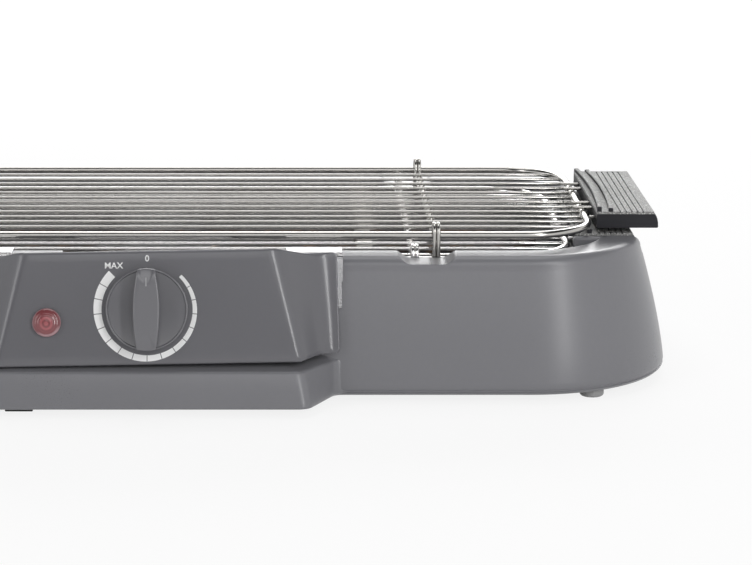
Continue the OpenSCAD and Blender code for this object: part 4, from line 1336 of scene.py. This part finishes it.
@dataclass
class Rack:
    """A chromed rack: a frame, rods, paired leg wires and two handles.

    Attributes:
        at: Place of the rack's origin, on the tub's middle line and at the height of the rods' axes.
        hx: Half length of the frame wire's axis.
        hy: Half depth of the frame wire's axis.
        leg_top: Height of a leg wire's loop over the frame.
        leg_low: Height of its lower end.
        handle_x: Where a handle starts.
        grip_z: Height of the grip plate's underside.
        grip_l: Length of the grip plate.
        groove_x: The first groove's distance from the handle's inner end.
        groove_pitch: Distance between two grooves.
        fins: Place and height of each fin above the plate.
    """

    name: str
    at: tuple[float, float, float]
    wire_finish: Metal
    hx: float = 200
    hy: float = 83
    corner: float = 33
    frame_r: float = 1.85
    rod_r: float = 0.8
    rods: int = 12
    pitch: float = 12
    leg_x: float = 125
    leg_r: float = 0.95
    leg_top: float = 6
    leg_low: float = -17
    handle_x: float = 204.5
    handle_w: float = 105
    grip_z: float = 3.45
    grip_l: float = 27.8
    plate: float = 1.2
    groove_x: float = 11
    groove_pitch: float = 2.8
    bow: float = 2
    fin_t: float = 1.9
    fins: tuple[tuple[float, float], ...] = ((0.3, 2.3), (5.8, 1.7))

    def rim(self) -> Surface:
        """The frame: a round wire along a rounded rectangle.

        Returns:
            The frame wire, about the rack's own origin.
        """
        corners = [(-self.hx, -self.hy), (self.hx, -self.hy), (self.hx, self.hy), (-self.hx, self.hy)]
        path = rounded(corners, self.corner, 20)
        long = np.linspace(path[19], path[20], 12)[1:-1]
        path = np.vstack([path[:20], long, path[20:]])
        path = np.column_stack([path, np.full(len(path), -0.5)])
        return tube(path, self.frame_r, (0, 0, 1), 20, loop=True)

    def rod_end(self, y: float) -> float:
        """Where a rod ends against the frame's inner side: x = hx - corner + sqrt(r^2 - v^2).

        Args:
            y: The rod's depth.

        Returns:
            The end's place along X.
        """
        r, v = self.corner - self.frame_r, abs(y) + self.rod_r - (self.hy - self.corner)
        if v <= 0:
            return self.hx - self.frame_r
        return self.hx - self.corner + math.sqrt(max(r * r - v * v, 1))

    def wire(self, x0: float, x1: float, y: float, z: float) -> Surface:
        """A straight wire along X with a little give: z falls by 0.06 mm in its middle.

        Args:
            x0: One end.
            x1: The other end.
            y: Its depth.
            z: Its height.

        Returns:
            The wire.
        """
        x = np.linspace(x0, x1, 9)
        sag = 0.06 * np.sin(np.pi * (x - x0) / (x1 - x0)) if abs(x1 - x0) > 50 else 0 * x
        return tube(np.column_stack([x, np.full(9, y), z - sag]), self.rod_r, (0, 0, 1), 14, dome=0.35)

    def grid(self) -> Surface:
        """The rods, and the short wires that tie the handles to the frame.

        Returns:
            The wires, about the rack's own origin.
        """
        wires = []
        for i in range(self.rods):
            y = (i - (self.rods - 1) / 2) * self.pitch
            end = self.rod_end(y) - 0.3
            wires.append(self.wire(-end, end, y, 0))
        high = self.frame_r - 0.5 + self.rod_r + 0.02
        for s in (-1, 1):
            held = s * (self.handle_x + 4.2)
            for k in (-2.5, -1.5, 1.5, 2.5):
                wires.append(self.wire(s * (self.hx - 4.2), held, k * self.pitch, high))
            for k in (-3.5, 3.5):
                wires.append(self.wire(s * (self.hx + self.frame_r + 0.3), held, k * self.pitch, 0))
        return joined(wires)

    def legs(self) -> Surface:
        """Paired wires under the rods, looped over the frame and down into the sockets.

        Returns:
            The wires, about the rack's own origin.
        """
        low, top = -self.rod_r - self.leg_r - 0.04, self.leg_top - self.leg_r
        inner, outer = self.hy - 4, self.hy + 4
        half = [(0, low), (inner, low), (inner, top), (outer, top), (outer, self.leg_low)]
        corners = [(-y, z) for y, z in half[:0:-1]] + half[1:]
        path = rounded(corners, [3.99, 3.99, 3, 3, 3.99, 3.99], 8, closed=False)
        wires = []
        for s in (-1, 1):
            for o in (-1, 1):
                x = np.full((len(path), 1), s * self.leg_x + o * (self.leg_r + 0.01))
                wires.append(tube(np.hstack([x, path]), self.leg_r, (1, 0, 0), 14, dome=0.9))
        return joined(wires)

    def bowed(self, section: Callable[[float], list], bow: float, half: float) -> Surface:
        """A bar along Y whose section shifts by bow (1 - (y / w)^2), with slightly drawn-in ends.

        Args:
            section: The section's corners as X and Z, by share of the half length.
            bow: How far the middle is pushed out.
            half: Half the bar's length.

        Returns:
            The bar.
        """
        ends = np.array([half - 1.3, half - 0.15, half])
        ys = np.concatenate([-ends[::-1], np.linspace(2.5 - half, half - 2.5, 27), ends])
        rings = []
        for y in ys:
            points = np.array(section(y / half))
            low = points[:, 1].min()
            points[:, 1] -= np.where(points[:, 1] > low, 0.12 * (abs(y) > half - 0.01), 0)
            shift = bow * (1 - (y / half) ** 2)
            rings.append(np.column_stack([points[:, 0] + shift, np.full(len(points), y), points[:, 1]]))
        return Surface.from_rings(np.array(rings))

    def grip(self) -> Surface:
        """A right handle's light parts: the grooved plate and the caps of the two bowed fins.

        Returns:
            The light parts, with the handle's inner end at x 0.
        """
        base, top = self.grip_z, self.grip_z + self.plate

        def plate(_: float) -> list:
            """The plate's section, with five grooves open at both ends.

            Args:
                _: Share of the half length, which the plate doesn't heed.

            Returns:
                The section's corners as X and Z.
            """
            section = [(0, base), (0, top - 0.15), (0.15, top)]
            for i in range(5):
                x = self.groove_x + self.groove_pitch * i
                section += [(x, top), (x + 0.1, top - 0.1), (x + 0.2, top - 0.7), (x + 0.5, top - 0.7),
                            (x + 0.6, top - 0.1), (x + 0.7, top)]
            return section + [(self.grip_l - 0.5, top), (self.grip_l - 0.15, top - 0.15),
                              (self.grip_l, top - 0.5), (self.grip_l, base)]

        bars = [self.bowed(plate, 0, self.handle_w / 2)]
        for x, h in self.fins:
            def cap(v: float, x: float = x, h: float = h) -> list:
                """A fin's cap: rounded, and lower towards its ends.

                Args:
                    v: Share of the half length.
                    x: The fin's place.
                    h: The fin's height above the plate.

                Returns:
                    The section's corners as X and Z.
                """
                z, t = top + h - 0.5 * v * v, self.fin_t
                return [(x, z - 0.6), (x, z - 0.3), (x + 0.3, z), (x + t - 0.3, z), (x + t, z - 0.3),
                        (x + t, z - 0.6)]

            bars.append(self.bowed(cap, self.bow, self.handle_w / 2 - 1.2))
        return joined(bars)

    def shaded_fin_walls(self) -> Surface:
        """A right handle's parts in painted shade: fin walls and the posts at their ends, dark for the
        shade on the fins' sides, and dark plugs for the grooves' end holes.

        Returns:
            The dark parts, with the handle's inner end at x 0.
        """
        w, top, bars = self.handle_w / 2, self.grip_z + self.plate, []
        for x, h in self.fins:
            def wall(v: float, x: float = x, h: float = h) -> list:
                """A fin's wall, let into the plate."""
                z, t = top + h - 0.5 * v * v - 0.55, self.fin_t
                return [(x + 0.02, top - 0.8), (x + 0.02, z), (x + t - 0.02, z), (x + t - 0.02, top - 0.8)]

            bars.append(self.bowed(wall, self.bow, w - 1.25))
            near, far = x - 0.2, x + self.fin_t + 0.1
            outline = rounded([(near, 0), (far, 0), (far, 1.35), (near, 1.35)], 0.25, 4)
            middle = np.array([x + self.fin_t / 2, 0.65])
            levels = [(3.0, 0), (4.3 + h, 0), (4.6 + h, 0.1), (4.7 + h, 0.3)]
            for t in (-1, 1):
                rings = [np.column_stack([(outline - middle) * (1 - i) + middle, np.full(len(outline), z)])
                         for z, i in levels]
                post = Surface.from_rings(np.array(rings))
                crown = 4.7 + h if t < 0 else 3.7 + h
                bars.append(post.changed(lambda p, t=t, crown=crown: np.column_stack(
                    [p[:, 0], t * (w - 0.05 - p[:, 1]), np.minimum(p[:, 2], crown)])))
        # Dark plugs at the grooves' ends: painted shade for the holes
        for i in range(5):
            outline = rounded([(-0.62, -0.62), (0.62, -0.62), (0.62, 0.62), (-0.62, 0.62)], 0.6, 5)
            x = self.groove_x + 0.35 + self.groove_pitch * i
            for t in (-1, 1):
                hole = outline + (x, t * (w - 1.6))
                rings = [np.column_stack([hole, np.full(len(hole), z)]) for z in (top - 1.2, top + 0.04)]
                bars.append(Surface.from_rings(np.array(rings)))
        return joined(bars)

    def build(self) -> None:
        """Makes and dresses the rack's wires and its handles."""
        n, body = self.name, self.name + "_rack"

        def place(s: Surface) -> Surface:
            """A surface moved to the rack's own place."""
            return s.changed(lambda p: p + self.at)

        for word, wires, node in (("rim_wire", self.rim(), "frame"), ("rod_wires", self.grid(), "rods"),
                                  ("leg_wires", self.legs(), "legs")):
            role = Role(body, "rack_wire", (f"{n}_{node}",))
            piece(f"{n}_{word}", place(wires), self.wire_finish, role, 60)
        for word, side in (("left", -1), ("right", 1)):
            softened(f"{n}_handle_{word}", CHARCOAL, Role(body, "handles"), 0.35)
            grip = Role(body, "grips", (f"{n}_grip_{word}",))

            def outwards(p: Array, side: int = side) -> Array:
                """A right handle's points carried to the rack's end, and mirrored for the left one."""
                return (p + (self.handle_x, 0, 0)) * (side, 1, 1)

            plate, walls = self.grip().changed(outwards), self.shaded_fin_walls().changed(outwards)
            piece(f"{n}_grip_plate_{word}", place(plate), GRIP_GREY, grip)
            # Fin walls, posts and hole plugs in charcoal: painted shade
            piece(f"{n}_shaded_fin_walls_{word}", place(walls), CHARCOAL, Role(body, "handles"))


# The studio

@dataclass
class Studio:
    """Pale floor, soft lights and the photograph's camera."""

    eye: tuple[float, float, float] = (51, -1410, 356)
    down: float = 12.96
    lens: float = 137.39
    shift: float = 0.1565

    def camera(self) -> None:
        """A camera that looks along +Y, pitched down, with a sideways shift for the framing."""
        data = bpy.data.cameras.new("camera")
        data.lens, data.sensor_width, data.shift_x = self.lens, 36, self.shift
        data.clip_start, data.clip_end = 0.05, 50
        cam = bpy.data.objects.new("camera", data)
        cam.location = [v * MM for v in self.eye]
        cam.rotation_euler = Euler((math.radians(90 - self.down), 0, 0))
        bpy.context.scene.collection.objects.link(cam)
        bpy.context.scene.camera = cam

    def world(self) -> None:
        """A white room for camera, glossy and transmission rays, and a plain light for the rest."""
        room = bpy.data.worlds.new("room")
        bpy.context.scene.world = room
        t = Tree(room)
        white = (1, 1, 1, 1)
        plain = t.value("ShaderNodeBackground", inputs={"Color": white, "Strength": 0.75})
        bright = t.value("ShaderNodeBackground", inputs={"Color": white, "Strength": 1.0})
        mixed = t.value("ShaderNodeMixShader", inputs={0: t.seen(), 1: plain, 2: bright})
        t.node("ShaderNodeOutputWorld", inputs={0: mixed})

    def lamp(self, name: str, at: Sequence, aim: Sequence, size: tuple[float, float], level: float) -> None:
        """A rectangular lamp.

        Args:
            name: The lamp's name.
            at: Its place in metres.
            aim: The point that it faces, in metres.
            size: Its width and height in metres.
            level: The brightness of a white surface at the aim that faces the lamp, whose power is pi^2 d^2
                times that.
        """
        data = bpy.data.lights.new(name, "AREA")
        data.shape, data.size, data.size_y = "RECTANGLE", size[0], size[1]
        data.energy = level * math.pi ** 2 * (Vector(aim) - Vector(at)).length_squared
        obj = bpy.data.objects.new(name, data)
        obj.location = at
        obj.rotation_euler = (Vector(aim) - Vector(at)).to_track_quat("-Z", "Y").to_euler()
        bpy.context.scene.collection.objects.link(obj)

    def card(self, name: str, corners: Sequence) -> None:
        """A dark card outside the picture, for bright metal to mirror.

        Args:
            name: The card's name.
            corners: Its four corners in metres.
        """
        mesh = bpy.data.meshes.new(name)
        mesh.from_pydata([tuple(c) for c in corners], [], [(0, 1, 2, 3)])
        dressed(mesh, CARD_BLACK)
        obj = bpy.data.objects.new(name, mesh)
        bpy.context.scene.collection.objects.link(obj)

    def floor(self) -> None:
        """A pale floor that looks white to the camera and still takes the object's shadow."""
        mesh = bpy.data.meshes.new("floor")
        s = 6.0
        mesh.from_pydata([(-s, -s, 0), (s, -s, 0), (s, s, 0), (-s, s, 0)], [], [(0, 1, 2, 3)])
        obj = bpy.data.objects.new("floor", mesh)
        bpy.context.scene.collection.objects.link(obj)
        t = Tree("floor_white")
        diffuse = t.value("ShaderNodeBsdfPrincipled",
                          inputs={"Base Color": (0.86, 0.86, 0.86, 1), "Roughness": 0.9})
        glow = t.value("ShaderNodeEmission", inputs={"Color": (1, 1, 1, 1), "Strength": 1.0})
        mixed = t.value("ShaderNodeMixShader", inputs={0: t.seen() * 0.85, 1: diffuse, 2: glow})
        t.node("ShaderNodeOutputMaterial", inputs={0: mixed})
        mesh.materials.append(t.owner)

    def build(self) -> None:
        """Sets up camera, room, lamps and floor."""
        self.camera()
        self.world()
        middle = (0.05, -0.05, 0.05)
        self.lamp("top", (0.1, 0.3, 1.6), middle, (1.2, 1.0), 0.37)
        self.lamp("back", (0.3, 1.9, 0.85), middle, (2.0, 0.8), 0.66)
        self.lamp("right_box", (0.98, -1.35, 0.75), middle, (0.22, 1.3), 0.3)
        self.lamp("front_soft", (0.25, -1.9, 1.05), middle, (1.4, 0.9), 0.16)
        self.lamp("left_box", (-1.15, -1.2, 0.75), middle, (0.3, 1.3), 0.12)
        self.card("ceiling", [(-3, -3, 2.2), (3, -3, 2.2), (3, 2.5, 2.2), (-3, 2.5, 2.2)])
        self.card("front_wall", [(-2, -3, 0.6), (2, -3, 0.6), (2, -3, 2.2), (-2, -3, 2.2)])
        self.floor()
        bpy.context.scene.view_settings.view_transform = "Standard"


def main() -> None:
    """Builds the studio and every sub-assembly."""
    Studio().build()
    Tub().build()
    ControlBox().build()
    Heater().build()
    Rack("lower", (0, 0, 63.4), CHROME).build()
    # The upper rack's chrome is the darker copy, painted shade
    Rack("upper", (10, 0, 74.0), SHADED_CHROME).build()
    bpy.context.view_layer.update()


if __name__ == "__main__":
    main()
